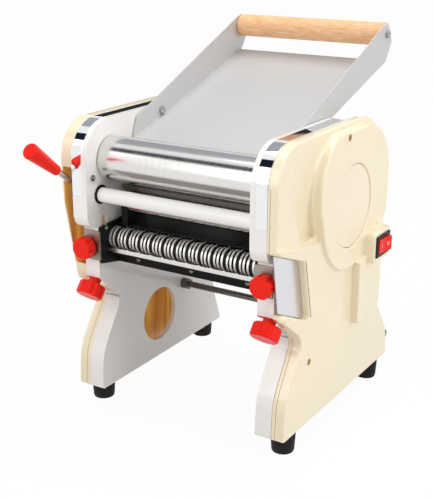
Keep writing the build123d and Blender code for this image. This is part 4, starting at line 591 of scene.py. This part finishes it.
    @staticmethod
    def copy(piece: Piece, name: str) -> Piece:
        """Copy a piece with a mesh of its own.

        Args:
            piece: Piece to copy.
            name: Name of the copy.

        Returns:
            The copy.
        """
        twin = bpy.data.objects.new(name, piece.data.copy())
        twin.data.name = name
        bpy.context.scene.collection.objects.link(twin)
        return twin

    @staticmethod
    def join(pieces: Sequence[Piece], name: str) -> Piece:
        """Join pieces into one mesh.

        Args:
            pieces: Pieces to join.
            name: Name of the joined piece.

        Returns:
            The joined piece.
        """
        joined = Bench.pick(*pieces)
        bpy.ops.object.join()
        joined.name = name
        joined.data.name = name
        return joined

    @staticmethod
    def cut(piece: Piece, tool: Piece) -> Piece:
        """Take a tool piece out of a piece and delete the tool.

        Args:
            piece: Piece that is cut.
            tool: Piece that is taken out of it.

        Returns:
            The cut piece.
        """
        Bench.apply(piece, "BOOLEAN", operation="DIFFERENCE", solver="EXACT", object=tool)
        bpy.data.objects.remove(tool)
        return piece

    @staticmethod
    def islands(node: str) -> list[tuple[Vector, Vector]]:
        """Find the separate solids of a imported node.

        Args:
            node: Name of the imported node.

        Returns:
            Lowest and highest corner of each solid.
        """
        probe = Bench.copy_node(node, "probe")
        Bench.edit(probe)
        bpy.ops.mesh.separate(type="LOOSE")
        Bench.done()
        found = []
        for part in list(bpy.context.selected_objects):
            places = [v.co for v in part.data.vertices]
            found.append((Vector([min(p[i] for p in places) for i in range(3)]),
                          Vector([max(p[i] for p in places) for i in range(3)])))
            bpy.data.objects.remove(part)
        return sorted(found, key=lambda box: tuple(box[0]))


class Shelf:
    """Puts finished pieces on their bodies and reports them."""

    @staticmethod
    def put(piece: Piece, body: Body, slot: Slot, finish: Finish, *nodes: str) -> Piece:
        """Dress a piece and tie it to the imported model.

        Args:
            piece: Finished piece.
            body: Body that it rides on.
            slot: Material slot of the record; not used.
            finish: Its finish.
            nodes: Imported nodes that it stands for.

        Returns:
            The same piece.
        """
        piece.data.materials.clear()
        piece.data.materials.append(finish.material())
        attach(piece, body.value)
        if nodes:
            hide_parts(*nodes)
        LOG.info("%s on %s", piece.name, body.value)
        return piece

    @staticmethod
    def keep(finish: Finish, *nodes: str) -> None:
        """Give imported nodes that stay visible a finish.

        Args:
            finish: Their finish.
            nodes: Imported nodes.
        """
        for node in nodes:
            for slot in frame["nodes"][node].material_slots:
                slot.material = finish.material()
            LOG.info("%s kept", node)

    @staticmethod
    def softened(node: str, name: str, body: Body, slot: Slot, finish: Finish, width: float,
                 segments: int = 2) -> Piece:
        """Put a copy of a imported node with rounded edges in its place.

        Args:
            node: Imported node.
            name: Name of the piece.
            body: Body that it rides on.
            slot: Material slot of the record.
            finish: Its finish.
            width: Width of the rounds in metres.
            segments: Faces across a round.

        Returns:
            The piece.
        """
        piece = Bench.bevel(Bench.copy_node(node, name), width, segments)
        return Shelf.put(piece, body, slot, finish, node)


def middle(node: str) -> Vector:
    """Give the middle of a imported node's box."""
    low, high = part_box(node)
    return (low + high) / 2


@dataclass
class SideFrames:
    """White cast side frames with their chrome head bands and tie rods."""

    edge: float = 0.0016
    edge_steps: int = 3
    band_edge: float = 0.0003
    rod_edge: float = 0.0004
    hook_low: float = 0.126
    hook_high: float = 0.186
    hook_rear: float = -0.085
    hook_facing: float = -0.25

    def polish(self, cast: Piece) -> None:
        """Leave the hook between the two knobs of a frame as bare bright metal.

        Args:
            cast: Finished side frame.
        """
        cast.data.materials.append(Finishes.HOOK.material())
        for face in cast.data.polygons:
            near = self.hook_low < face.center.z < self.hook_high and face.center.y < self.hook_rear
            face.material_index = int(near and min(face.normal.y, face.normal.z) < self.hook_facing)

    def build(self) -> None:
        """Build both sides and what ties them together."""
        for side in ("left", "right"):
            self.polish(Shelf.softened(f"{side}_side_frame", f"{side}_cast_frame", Body.FRAME,
                                       Slot.FRAME_WHITE, Finishes.FRAME, self.edge, self.edge_steps))
            Shelf.softened(f"{side}_chrome_band", f"{side}_head_band", Body.FRAME, Slot.CHROME,
                           Finishes.CHROME, self.band_edge)
        # The tie rod and its collars take steel painted dark as painted shade
        for node, name, finish in (("lower_tie_rod", "tie_rod_painted_shade", Finishes.SHADED_STEEL),
                                   ("tray_rest_rod", "rest_rod_bright", Finishes.ROLLER),
                                   ("tie_rod_collars", "tie_collars_painted_shade", Finishes.SHADED_STEEL)):
            Shelf.softened(node, name, Body.FRAME, Slot.STEEL, finish, self.rod_edge)


@dataclass
class Covers:
    """Cream moulded covers with the drum cap, access plate, door seam and cable gland."""

    voxel: float = 0.0011
    soft_from: float = 0.0035
    soft_over: float = 0.004
    crisp: float = 0.08
    rounds: int = 7
    share: float = 0.28
    lip: float = 0.0006
    gilded_to: float = 0.075
    lift: float = 0.0008
    reach: float = 0.2
    beside: float = 0.3
    ahead: float = -0.4
    seam_lean: float = 0.0155
    seam_back: float = 0.0042
    seam_drop: float = 0.0185
    seam_width: float = 0.0010
    seam_steps: int = 30
    lip_width: float = 0.0006
    lip_steps: int = 60
    # Name, lower end, upper end and distance from the cover's inner edge of each groove
    lips: tuple[tuple[str, float, float, float], ...] = (("leg", 0.026, 0.128, 0.0045),
                                                         ("head", 0.222, 0.296, 0.0028))
    ribbon_thick: float = 0.0003
    latch_at: float = 0.46
    latch_shape: tuple[tuple[float, float], ...] = ((0.0, 0.0009), (0.0009, 0.0007), (0.0016, -0.0004),
                                                    (0.0, -0.0004))
    latch_steps: int = 20
    cap_edge: float = 0.0006
    plate_edge: float = 0.0006
    gland_edge: float = 0.0008

    def softness(self, side: int) -> Callable[[Vector], float]:
        """Give the weight that keeps the inner lip crisp and the outside round.

        Args:
            side: 1 for the right cover, -1 for the left one.

        Returns:
            Weight as a function of a point.
        """
        low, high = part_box("right_cover" if side > 0 else "left_cover")
        inner = low.x if side > 0 else -high.x

        def weight(point: Vector) -> float:
            """Grow from the lip outwards."""
            return max(self.crisp, min(1.0, (side * point.x - inner - self.soft_from) / self.soft_over))

        return weight

    def gild(self, shell: Piece, side: int) -> None:
        """Paint the hollow side of a cover gold, with a painted glow that lifts it out of its shade.

        Args:
            shell: Finished cover.
            side: 1 for the right cover, -1 for the left one.
        """
        shell.data.materials.append(Finishes.INSIDE.material())
        lip = min(side * vertex.co.x for vertex in shell.data.vertices)
        tree = BVHTree.FromObject(shell, bpy.context.evaluated_depsgraph_get())
        for face in shell.data.polygons:
            start = face.center + self.lift * face.normal
            hit = tree.ray_cast(start, Vector((side, 0, 0)), self.reach)[0]
            gilded = face.center.y < self.gilded_to and side * face.center.x > lip + self.lip
            face.material_index = int(gilded and hit is not None)

    def ribbon(self, name: str, rails: Sequence[tuple[Vector, Vector]]) -> Piece:
        """Make a thin ribbon that lies half in the surface.

        Args:
            name: Name of the new piece.
            rails: Left and right point of each place along the ribbon.

        Returns:
            The new piece.
        """
        rows = [tuple(point) for pair in rails for point in pair]
        faces = [(2 * i, 2 * i + 1, 2 * i + 3, 2 * i + 2) for i in range(len(rails) - 1)]
        mesh = bpy.data.meshes.new(name)
        mesh.from_pydata(rows, [], faces)
        piece = bpy.data.objects.new(name, mesh)
        bpy.context.scene.collection.objects.link(piece)
        Bench.edit(piece)
        bpy.ops.mesh.normals_make_consistent(inside=False)
        Bench.done()
        Bench.apply(piece, "SOLIDIFY", thickness=self.ribbon_thick, offset=0.0)
        return piece

    def seam(self, shell: Piece) -> None:
        """Lay the fine seam and its latch beside the access plate.

        Args:
            shell: Finished right cover.
        """
        tree = BVHTree.FromObject(shell, bpy.context.evaluated_depsgraph_get())
        low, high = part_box("cutter_access_plate")
        top = Vector((0, high.y - self.seam_lean + self.seam_back, high.z - self.seam_drop))
        foot = Vector((0, high.y + self.seam_back, low.z))
        across = Vector((0, foot.z - top.z, top.y - foot.y)).normalized() * self.seam_width / 2
        aim = Vector((-1, 0, 0))
        rails = []
        for step in range(self.seam_steps + 1):
            spot = top.lerp(foot, step / self.seam_steps) - self.beside * aim
            rails.append((tree.ray_cast(spot - across, aim)[0], tree.ray_cast(spot + across, aim)[0]))
        Shelf.put(self.ribbon("door_seam", rails), Body.FRAME, Slot.BLACK_PLASTIC, Finishes.SEAM)
        spot = tree.ray_cast(top.lerp(foot, self.latch_at) - self.beside * aim, aim)[0]
        latch = Bench.stand(Bench.turned("door_latch", self.latch_shape, self.latch_steps), spot, -aim)
        Shelf.put(latch, Body.FRAME, Slot.STEEL, Finishes.BRIGHT)

    def lip_lines(self, shell: Piece, side: int) -> None:
        """Lay a thin tan ribbon, painted shade for the fine groove that sets the cover's inner lip off from
        its wall.

        Args:
            shell: Finished cover.
            side: 1 for the right cover, -1 for the left one.
        """
        tree = BVHTree.FromObject(shell, bpy.context.evaluated_depsgraph_get())
        inner = min(side * vertex.co.x for vertex in shell.data.vertices)
        for part, start, end, inset in self.lips:
            if part == "head" and side < 0:
                continue
            rails = []
            for step in range(self.lip_steps + 1):
                height = start + (end - start) * step / self.lip_steps
                starts = [Vector((side * (inner + inset + half), self.ahead, height))
                          for half in (-self.lip_width / 2, self.lip_width / 2)]
                rails.append(tuple(tree.ray_cast(spot, Vector((0, 1, 0)))[0] for spot in starts))
            name = f"{'right' if side > 0 else 'left'}_{part}_lip_line"
            Shelf.put(self.ribbon(name, rails), Body.FRAME, Slot.COVER_CREAM, Finishes.GROOVE)

    def build(self) -> None:
        """Build both covers and what sits on the right one."""
        for side, sign in (("left", -1), ("right", 1)):
            shell = Bench.copy_node(f"{side}_cover", f"{side}_moulded_cover")
            Bench.mould(shell, self.voxel, self.softness(sign), self.rounds, self.share)
            Shelf.put(shell, Body.FRAME, Slot.COVER_CREAM, Finishes.COVER, f"{side}_cover")
            self.gild(shell, sign)
            self.lip_lines(shell, sign)
            if side == "right":
                self.seam(shell)
        Shelf.softened("drum_cap", "drum_cap_disc", Body.FRAME, Slot.COVER_CREAM, Finishes.CAP, self.cap_edge)
        Shelf.softened("cutter_access_plate", "access_plate", Body.FRAME, Slot.STEEL, Finishes.PLATE,
                       self.plate_edge)
        Shelf.softened("cable_gland", "gland_relief", Body.FRAME, Slot.BLACK_PLASTIC, Finishes.PLASTIC,
                       self.gland_edge)


@dataclass
class Switch:
    """Red rocker in a black bezel on the cover's pod, with a bar and a ring for on and off."""

    bezel_edge: float = 0.0007
    rocker_edge: float = 0.0008
    beside: float = 0.3
    mark_reach: float = 0.0062
    mark_size: float = 0.0021
    mark_line: float = 0.0005
    mark_proud: float = 0.0001
    mark_sunk: float = 0.0003
    bar_share: float = 1.7
    ring_steps: int = 28

    def build(self) -> None:
        """Build the bezel, the rocker and its two marks."""
        Shelf.softened("switch_bezel", "bezel_rounded", Body.FRAME, Slot.BLACK_PLASTIC, Finishes.PLASTIC,
                       self.bezel_edge)
        rocker = Shelf.softened("switch_rocker", "rocker_dished", Body.ROCKER, Slot.KNOB_RED, Finishes.RED,
                                self.rocker_edge)
        tree = BVHTree.FromObject(rocker, bpy.context.evaluated_depsgraph_get())
        self.mark(tree, "on_bar", -self.mark_reach, self.bar())
        self.mark(tree, "off_ring", self.mark_reach, self.ring())

    def mark(self, tree: BVHTree, name: str, along: float, piece: Piece) -> None:
        """Set a mark down on the rocker's face.

        Args:
            tree: Faces of the rocker.
            name: Name of the piece.
            along: Distance from the rocker's middle along Y.
            piece: Mark at the origin, lying flat.
        """
        centre = middle("switch_rocker")
        start = Vector((self.beside, centre.y + along, centre.z))
        spot, normal = tree.ray_cast(start, Vector((-1, 0, 0)))[:2]
        Bench.stand(piece, spot, normal)
        piece.name = name
        Shelf.put(piece, Body.ROCKER, Slot.ROD_WHITE, Finishes.MARK)

    def ring(self) -> Piece:
        """Turn the ring that stands for off.

        Returns:
            The ring at the origin, lying flat.
        """
        inner = self.mark_size - self.mark_line
        profile = [(inner, -self.mark_sunk), (inner, self.mark_proud), (self.mark_size, self.mark_proud),
                   (self.mark_size, -self.mark_sunk)]
        return Bench.turned("off_ring", profile, self.ring_steps, closed=True)

    def bar(self) -> Piece:
        """Shape the bar that stands for on.

        Returns:
            The bar at the origin, lying flat.
        """
        Bench.clear()
        bpy.ops.mesh.primitive_cube_add(size=1.0)
        piece = bpy.context.object
        Bench.edit(piece)
        bpy.ops.transform.resize(value=(self.mark_line, self.bar_share * self.mark_size,
                                        self.mark_proud + self.mark_sunk))
        bpy.ops.transform.translate(value=(0, 0, (self.mark_proud - self.mark_sunk) / 2))
        bpy.ops.mesh.bevel(offset=self.mark_proud, segments=1, affect="EDGES")
        Bench.done()
        return piece


@dataclass
class Feet:
    """Four turned rubber feet, each with a hole for its screw."""

    taper: float = 0.0012
    round: float = 0.0022
    corner_in: float = 0.3
    corner_up: float = 0.25
    hole_radius: float = 0.005
    hole_deep: float = 0.006
    steps: int = 40

    def profile(self, radius: float, height: float) -> list[tuple[float, float]]:
        """Give the outline of a foot with a round edge and a screw hole below.

        Args:
            radius: Radius of the foot.
            height: Height of the foot.

        Returns:
            Pairs of radius and height.
        """
        sole = radius - self.taper
        inwards, upwards = self.corner_in * self.round, self.corner_up * self.round
        return [(0.0, self.hole_deep), (self.hole_radius, self.hole_deep), (self.hole_radius, 0.0),
                (sole - self.round, 0.0), (sole - inwards, upwards), (sole, self.round),
                (radius, height - self.round), (radius - inwards, height - upwards),
                (radius - self.round, height), (0.0, height)]

    def build(self) -> None:
        """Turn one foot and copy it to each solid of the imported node."""
        solids = Bench.islands("rubber_feet")
        size = solids[0][1] - solids[0][0]
        model = Bench.turned("foot", self.profile(size.x / 2, size.z), self.steps)
        feet = []
        for low, high in solids:
            place = Vector(((low.x + high.x) / 2, (low.y + high.y) / 2, low.z))
            feet.append(Bench.stand(Bench.copy(model, "foot"), place, Vector((0, 0, 1))))
        bpy.data.objects.remove(model)
        Shelf.put(Bench.join(feet, "turned_feet"), Body.FRAME, Slot.FOOT_RUBBER, Finishes.RUBBER,
                  "rubber_feet")


@dataclass
class PressRollers:
    """Ground steel press rollers with their bearings and the guide rod."""

    edge: float = 0.0008
    block_edge: float = 0.0005
    bush_edge: float = 0.0004
    rod_edge: float = 0.0006
    ring_edge: float = 0.0005

    def build(self) -> None:
        """Build both rollers, their bearings and the guide rod in its rings."""
        Shelf.softened("front_press_roller", "front_ground_roller", Body.FRONT_ROLLER, Slot.ROLLER_STEEL,
                       Finishes.ROLLER, self.edge)
        # The rear roller is the same ground steel painted dark as painted shade under the front roller
        Shelf.softened("rear_press_roller", "rear_ground_roller", Body.REAR_ROLLER, Slot.ROLLER_STEEL,
                       Finishes.SHADED_STEEL, self.edge)
        Shelf.softened("rear_bearing_blocks", "sliding_blocks", Body.CARRIAGE, Slot.BUSH_BRONZE,
                       Finishes.BRONZE, self.block_edge)
        Shelf.softened("roller_bushes", "flanged_bushes", Body.FRAME, Slot.BUSH_BRONZE, Finishes.BRONZE,
                       self.bush_edge)
        Shelf.softened("guide_rod", "guide_rod_nylon", Body.GUIDE_ROD, Slot.ROD_WHITE, Finishes.ROD,
                       self.rod_edge)
        Shelf.softened("guide_rod_rings", "rod_end_rings", Body.FRAME, Slot.BLACK_PLASTIC, Finishes.PLASTIC,
                       self.ring_edge)


@dataclass
class GapLever:
    """Lever that sets the roller gap, with its tapered red grip."""

    shaft_edge: float = 0.0004
    arm_edge: float = 0.0005
    grip_round: float = 0.0030
    grip_steps: int = 5

    def build(self) -> None:
        """Build the shaft, cams, arm and grip."""
        for node, name, width in (("gap_shaft", "gap_shaft_bright", self.shaft_edge),
                                  ("gap_cams", "spiral_cams", self.shaft_edge),
                                  ("lever_arm", "lever_rod", self.arm_edge)):
            Shelf.softened(node, name, Body.LEVER, Slot.STEEL, Finishes.BRIGHT, width)
        Shelf.softened("lever_grip", "tapered_grip", Body.LEVER, Slot.KNOB_RED, Finishes.RED, self.grip_round,
                       self.grip_steps)


@dataclass
class CutterUnit:
    """Noodle cutter: ridged rollers, combs, end plates and angle bar."""

    rim_round: float = 0.0004
    plate_edge: float = 0.0004
    strip_edge: float = 0.0003
    feed_edge: float = 0.0005
    block_edge: float = 0.0006

    def build(self) -> None:
        """Build the rollers and the plates round them."""
        self.roller("front_cutter_roller", "front_disc_roller", Body.FRONT_CUTTER)
        self.roller("rear_cutter_roller", "rear_disc_roller", Body.REAR_CUTTER)
        for node, name in (("cutter_end_plates", "cutter_cheeks"), ("cutter_upper_comb", "upper_comb"),
                           ("cutter_angle_bar", "angle_bar")):
            Shelf.softened(node, name, Body.FRAME, Slot.BLACK_METAL, Finishes.BLACK, self.plate_edge)
        for node, name, finish in (("cutter_lower_comb", "scalloped_strip", Finishes.STRIP),
                                   ("cutter_clamp_brackets", "clamp_brackets", Finishes.BRACKET),
                                   ("cutter_hook_pin", "hook_pin", Finishes.BRIGHT)):
            Shelf.softened(node, name, Body.FRAME, Slot.STEEL, finish, self.strip_edge)
        Shelf.softened("feed_roller", "feed_roller_ground", Body.FEED_ROLLER, Slot.ROLLER_STEEL,
                       Finishes.ROLLER, self.feed_edge)
        Shelf.softened("feed_roller_blocks", "feed_blocks", Body.FRAME, Slot.BLACK_PLASTIC, Finishes.PLASTIC,
                       self.block_edge)

    def roller(self, node: str, name: str, body: Body) -> None:
        """Build a ridged roller with rounded rims.

        Args:
            node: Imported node.
            name: Name of the piece.
            body: Body that it rides on.
        """
        spin = next(joint for joint in frame["joints"] if joint["child"] == body.value)
        # The grooves are painted near black as painted shade between the bright ridges
        finish = Ridged(f"{name}_steel", (0.95, 0.940, 0.92), (0.008, 0.0075, 0.007), (0.22, 0.34), 0.55,
                        cells=2600.0, relief=0.000004, centre=tuple(spin["pos_m"][1:]))
        Shelf.softened(node, name, body, Slot.ROLLER_STEEL, finish, self.rim_round)


@dataclass
class ThumbKnobs:
    """Four fluted red thumb knobs on threaded studs."""

    edge: float = 0.0008

    def build(self) -> None:
        """Build one knob on each knob body."""
        for level in ("upper", "lower"):
            for side in ("left", "right"):
                node = f"{level}_{side}_knob"
                Shelf.softened(node, f"{level}_{side}_fluted_knob", Body(node), Slot.KNOB_RED, Finishes.RED,
                               self.edge)


@dataclass
class FeedTray:
    """Folded steel chute with a turned beech handle."""

    fold: float = 0.0004
    handle_round: float = 0.0025
    handle_steps: int = 4

    def build(self) -> None:
        """Build the sheet and the handle."""
        Shelf.softened("tray_sheet", "folded_tray", Body.TRAY, Slot.STEEL, Finishes.STEEL, self.fold)
        Shelf.softened("tray_handle", "beech_handle", Body.TRAY, Slot.BEECH, Finishes.BEECH,
                       self.handle_round, self.handle_steps)


@dataclass
class Fasteners:
    """Screws with crossed heads."""

    edge: float = 0.0004
    slot_width: float = 0.0011
    slot_deep: float = 0.0009
    slot_share: float = 1.15
    end_depth: float = 0.0008
    margin: float = 1.1
    shade: float = 40.0

    def build(self) -> None:
        """Round the heads of every screw group and cut their crosses."""
        for node, axis in (("tie_rod_screws", 0), ("cover_screws", 0), ("head_screws", 0),
                           ("angle_bar_screws", 1), ("tray_pivot_screws", 0), ("foot_screws", 2),
                           ("tray_handle_screws", 0)):
            body = Body.TRAY if node == "tray_handle_screws" else Body.FRAME
            finish = {"angle_bar_screws": Finishes.BRACKET,
                      "cover_screws": Finishes.BRASS}.get(node, Finishes.SCREW)
            piece = Bench.bevel(Bench.copy_node(node, f"{node}_crossed"), self.edge)
            for low, high in Bench.islands(node):
                self.cross(piece, low, high, axis)
            Shelf.put(Bench.smooth(piece, self.shade), body, Slot.STEEL, finish, node)

    def cross(self, piece: Piece, low: Vector, high: Vector, axis: int) -> None:
        """Cut a cross into the head of one screw.

        Args:
            piece: Group of screws.
            low: Lowest corner of this screw.
            high: Highest corner of this screw.
            axis: Index of the screw's long axis.
        """
        across = [i for i in range(3) if i != axis]
        centre = (low + high) / 2
        radius = (high[across[0]] - low[across[0]]) / 2

        def reach(end: float) -> float:
            """Find how wide the screw is near one end.

            Args:
                end: Place of that end on the long axis.

            Returns:
                The largest radius there.
            """
            ring = [math.hypot(*(v.co[i] - centre[i] for i in across)) for v in piece.data.vertices
                    if abs(v.co[axis] - end) < self.end_depth]
            return max((wide for wide in ring if wide < self.margin * radius), default=0.0)

        top = high[axis] if reach(high[axis]) > reach(low[axis]) else low[axis]
        for long_way in across:
            Bench.clear()
            bpy.ops.mesh.primitive_cube_add(size=1.0)
            tool = bpy.context.object
            size = [self.slot_width] * 3
            size[long_way] = self.slot_share * radius
            size[axis] = 2 * self.slot_deep
            place = centre.copy()
            place[axis] = top
            tool.data.transform(Matrix.Translation(place) @ Matrix.Diagonal((*size, 1.0)))
            Bench.cut(piece, tool)


@dataclass
class Drive:
    """Motor on the right side frame and the gears under its cover, kept as packed."""

    gears: tuple[str, ...] = ("front_roller_gear", "roller_drive_gear", "rear_roller_gear", "idler_gear",
                              "motor_gear", "cutter_idler_gear", "front_cutter_gear", "rear_cutter_gear",
                              "cutter_drive_gear", "motor_shaft", "gear_studs")

    def build(self) -> None:
        """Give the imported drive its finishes."""
        Shelf.keep(Finishes.GEAR, *self.gears)
        Shelf.keep(Finishes.MOTOR, "motor")


@dataclass(frozen=True)
class Lamp:
    """A square soft lamp that looks at the machine."""

    name: str
    place: tuple[float, float, float]
    size: float
    watts: float
    tint: Colour
    aim: tuple[float, float, float] = (0.0, 0.0, 0.2)

    def hang(self) -> None:
        """Hang the lamp and turn it to the machine."""
        data = bpy.data.lights.new(self.name, "AREA")
        data.size = self.size
        data.energy = self.watts
        data.color = self.tint
        lamp = bpy.data.objects.new(self.name, data)
        lamp.location = self.place
        lamp.rotation_euler = (Vector(self.place) - Vector(self.aim)).to_track_quat("Z", "Y").to_euler()
        bpy.context.scene.collection.objects.link(lamp)


@dataclass(frozen=True)
class Flag:
    """A studio flag that only the reflections in the metal show, leaning about the X axis in degrees."""

    name: str
    place: tuple[float, float, float]
    size: tuple[float, float]
    lean: float
    tone: Colour
    clouds: float = 6.0
    fade: float = 0.85

    def hang(self) -> None:
        """Cut the flag to size and hang it."""
        flag = Bench.plane(self.name, self.size, cuts=1)
        sheet = NodeSheet(f"{self.name}_cloth")
        dark = tuple(self.fade * part for part in self.tone)
        tint = sheet.ramp(sheet.noise(self.clouds), dark, self.tone)
        sheet.link(tint, sheet.shader.inputs["Emission Color"])
        sheet.set(Emission_Strength=1.0, Roughness=1.0, Specular_IOR_Level=0.0)
        sheet.shader.inputs["Base Color"].default_value = (0.0, 0.0, 0.0, 1.0)
        flag.data.materials.append(sheet.material)
        turn = Matrix.Rotation(math.radians(self.lean), 4, "X")
        flag.data.transform(Matrix.Translation(Vector(self.place)) @ turn)
        for rays in ("camera", "diffuse", "transmission", "volume_scatter", "shadow"):
            setattr(flag, f"visible_{rays}", False)


@dataclass
class Studio:
    """White floor, soft lamps and the camera at the photograph's angle."""

    lens: float = 71.39
    sensor: float = 36.0
    sight: float = 50.0
    eye: tuple[float, float, float] = (0.5536, -0.9305, 0.5405)
    back: tuple[float, float, float] = (0.503, -0.802, 0.322)
    floor_side: float = 24.0
    floor_clouds: float = 3.0
    floor_dark: Colour = (0.74, 0.735, 0.73)
    floor_pale: Colour = (0.76, 0.755, 0.75)
    floor_roughness: float = 0.35
    floor_glow: float = 1.02
    glow_share: float = 0.93
    sky: Colour = (1.0, 0.985, 0.96)
    sky_strength: float = 0.36
    lamps: tuple[Lamp, ...] = (
        Lamp("key_lamp", (1.7, 0.1, 1.0), 1.3, 14.0, (1.0, 0.985, 0.955)),
        Lamp("fill_lamp", (-0.3, -1.8, 1.1), 1.4, 13.5, (1.0, 0.985, 0.96)),
        Lamp("left_lamp", (-1.7, -0.9, 0.9), 1.2, 5.0, (1.0, 0.99, 0.97)),
        Lamp("top_lamp", (0.1, 0.2, 1.8), 1.4, 17.0, (1.0, 1.0, 1.0)),
    )
    flags: tuple[Flag, ...] = (
        Flag("dark_flag", (-0.90, -0.62, 1.20), (3.2, 0.40), 30.0, (0.012, 0.016, 0.030)),
        Flag("rear_flag", (-0.70, 1.20, 0.64), (2.4, 0.24), -76.0, (0.03, 0.03, 0.04)),
        Flag("grey_ceiling", (-0.75, 0.75, 1.75), (3.4, 1.5), -30.0, (0.44, 0.46, 0.50)),
        Flag("floor_flag", (-0.25, -0.29, 0.002), (1.3, 0.30), 0.0, (0.34, 0.31, 0.29)),
    )

    @staticmethod
    def seen(tree: bpy.types.NodeTree) -> Socket:
        """Add up the rays that show the studio itself: camera, glossy and transmission rays.

        Args:
            tree: Node tree that gets the nodes.

        Returns:
            The socket that is 1 for such a ray.
        """
        path = tree.nodes.new("ShaderNodeLightPath")
        total = path.outputs["Is Camera Ray"]
        for name in ("Is Glossy Ray", "Is Transmission Ray"):
            node = tree.nodes.new("ShaderNodeMath")
            node.operation = "MAXIMUM"
            tree.links.new(total, node.inputs[0])
            tree.links.new(path.outputs[name], node.inputs[1])
            total = node.outputs[0]
        return total

    def camera(self) -> None:
        """Place the camera, whose eye is given from the machine's own middle."""
        data = bpy.data.cameras.new("photo_camera")
        data.lens = self.lens
        data.sensor_width = self.sensor
        data.clip_end = self.sight
        camera = bpy.data.objects.new("photo_camera", data)
        camera.location = Vector(self.eye) + Vector((middle("tray_sheet").x, middle("rubber_feet").y, 0.0))
        camera.rotation_euler = Vector(self.back).to_track_quat("Z", "Y").to_euler()
        bpy.context.scene.collection.objects.link(camera)
        bpy.context.scene.camera = camera

    def floor(self) -> None:
        """Lay a pale floor that stays white to the camera and keeps the shadow."""
        floor = Bench.plane("studio_floor", (self.floor_side, self.floor_side), cuts=3)
        sheet = NodeSheet("studio_floor_white")
        sheet.link(sheet.ramp(sheet.noise(self.floor_clouds), self.floor_dark, self.floor_pale),
                   sheet.shader.inputs["Base Color"])
        sheet.set(Roughness=self.floor_roughness)
        glow = sheet.tree.nodes.new("ShaderNodeEmission")
        glow.inputs["Strength"].default_value = self.floor_glow
        mix = sheet.tree.nodes.new("ShaderNodeMixShader")
        share = sheet.tree.nodes.new("ShaderNodeMath")
        share.operation = "MULTIPLY"
        share.inputs[1].default_value = self.glow_share
        sheet.link(self.seen(sheet.tree), share.inputs[0])
        sheet.link(share.outputs[0], mix.inputs["Fac"])
        sheet.link(sheet.shader.outputs["BSDF"], mix.inputs[1])
        sheet.link(glow.outputs["Emission"], mix.inputs[2])
        sheet.link(mix.outputs["Shader"], sheet.output.inputs["Surface"])
        floor.data.materials.append(sheet.material)

    def world(self) -> None:
        """Make a world that is white to the camera and a soft sky to the machine."""
        world = bpy.data.worlds.new("studio_world")
        bpy.context.scene.world = world
        world.use_nodes = True
        tree = world.node_tree
        tree.nodes.clear()
        output = tree.nodes.new("ShaderNodeOutputWorld")
        white = tree.nodes.new("ShaderNodeBackground")
        white.inputs["Color"].default_value = (1.0, 1.0, 1.0, 1.0)
        sky = tree.nodes.new("ShaderNodeBackground")
        sky.inputs["Color"].default_value = (*self.sky, 1.0)
        sky.inputs["Strength"].default_value = self.sky_strength
        mix = tree.nodes.new("ShaderNodeMixShader")
        tree.links.new(self.seen(tree), mix.inputs["Fac"])
        tree.links.new(sky.outputs["Background"], mix.inputs[1])
        tree.links.new(white.outputs["Background"], mix.inputs[2])
        tree.links.new(mix.outputs["Shader"], output.inputs["Surface"])

    def build(self) -> None:
        """Set up floor, light and camera."""
        bpy.context.scene.view_settings.view_transform = "Standard"
        self.floor()
        self.world()
        for piece in (*self.lamps, *self.flags):
            piece.hang()
        self.camera()


def main() -> None:
    """Build all sub-assemblies in order."""
    for assembly in (SideFrames(), Covers(), Switch(), Feet(), PressRollers(), GapLever(), CutterUnit(),
                     ThumbKnobs(), FeedTray(), Fasteners(), Drive(), Studio()):
        LOG.info("building %s", type(assembly).__name__)
        assembly.build()
    Bench.clear()


if __name__ == "__main__":
    main()
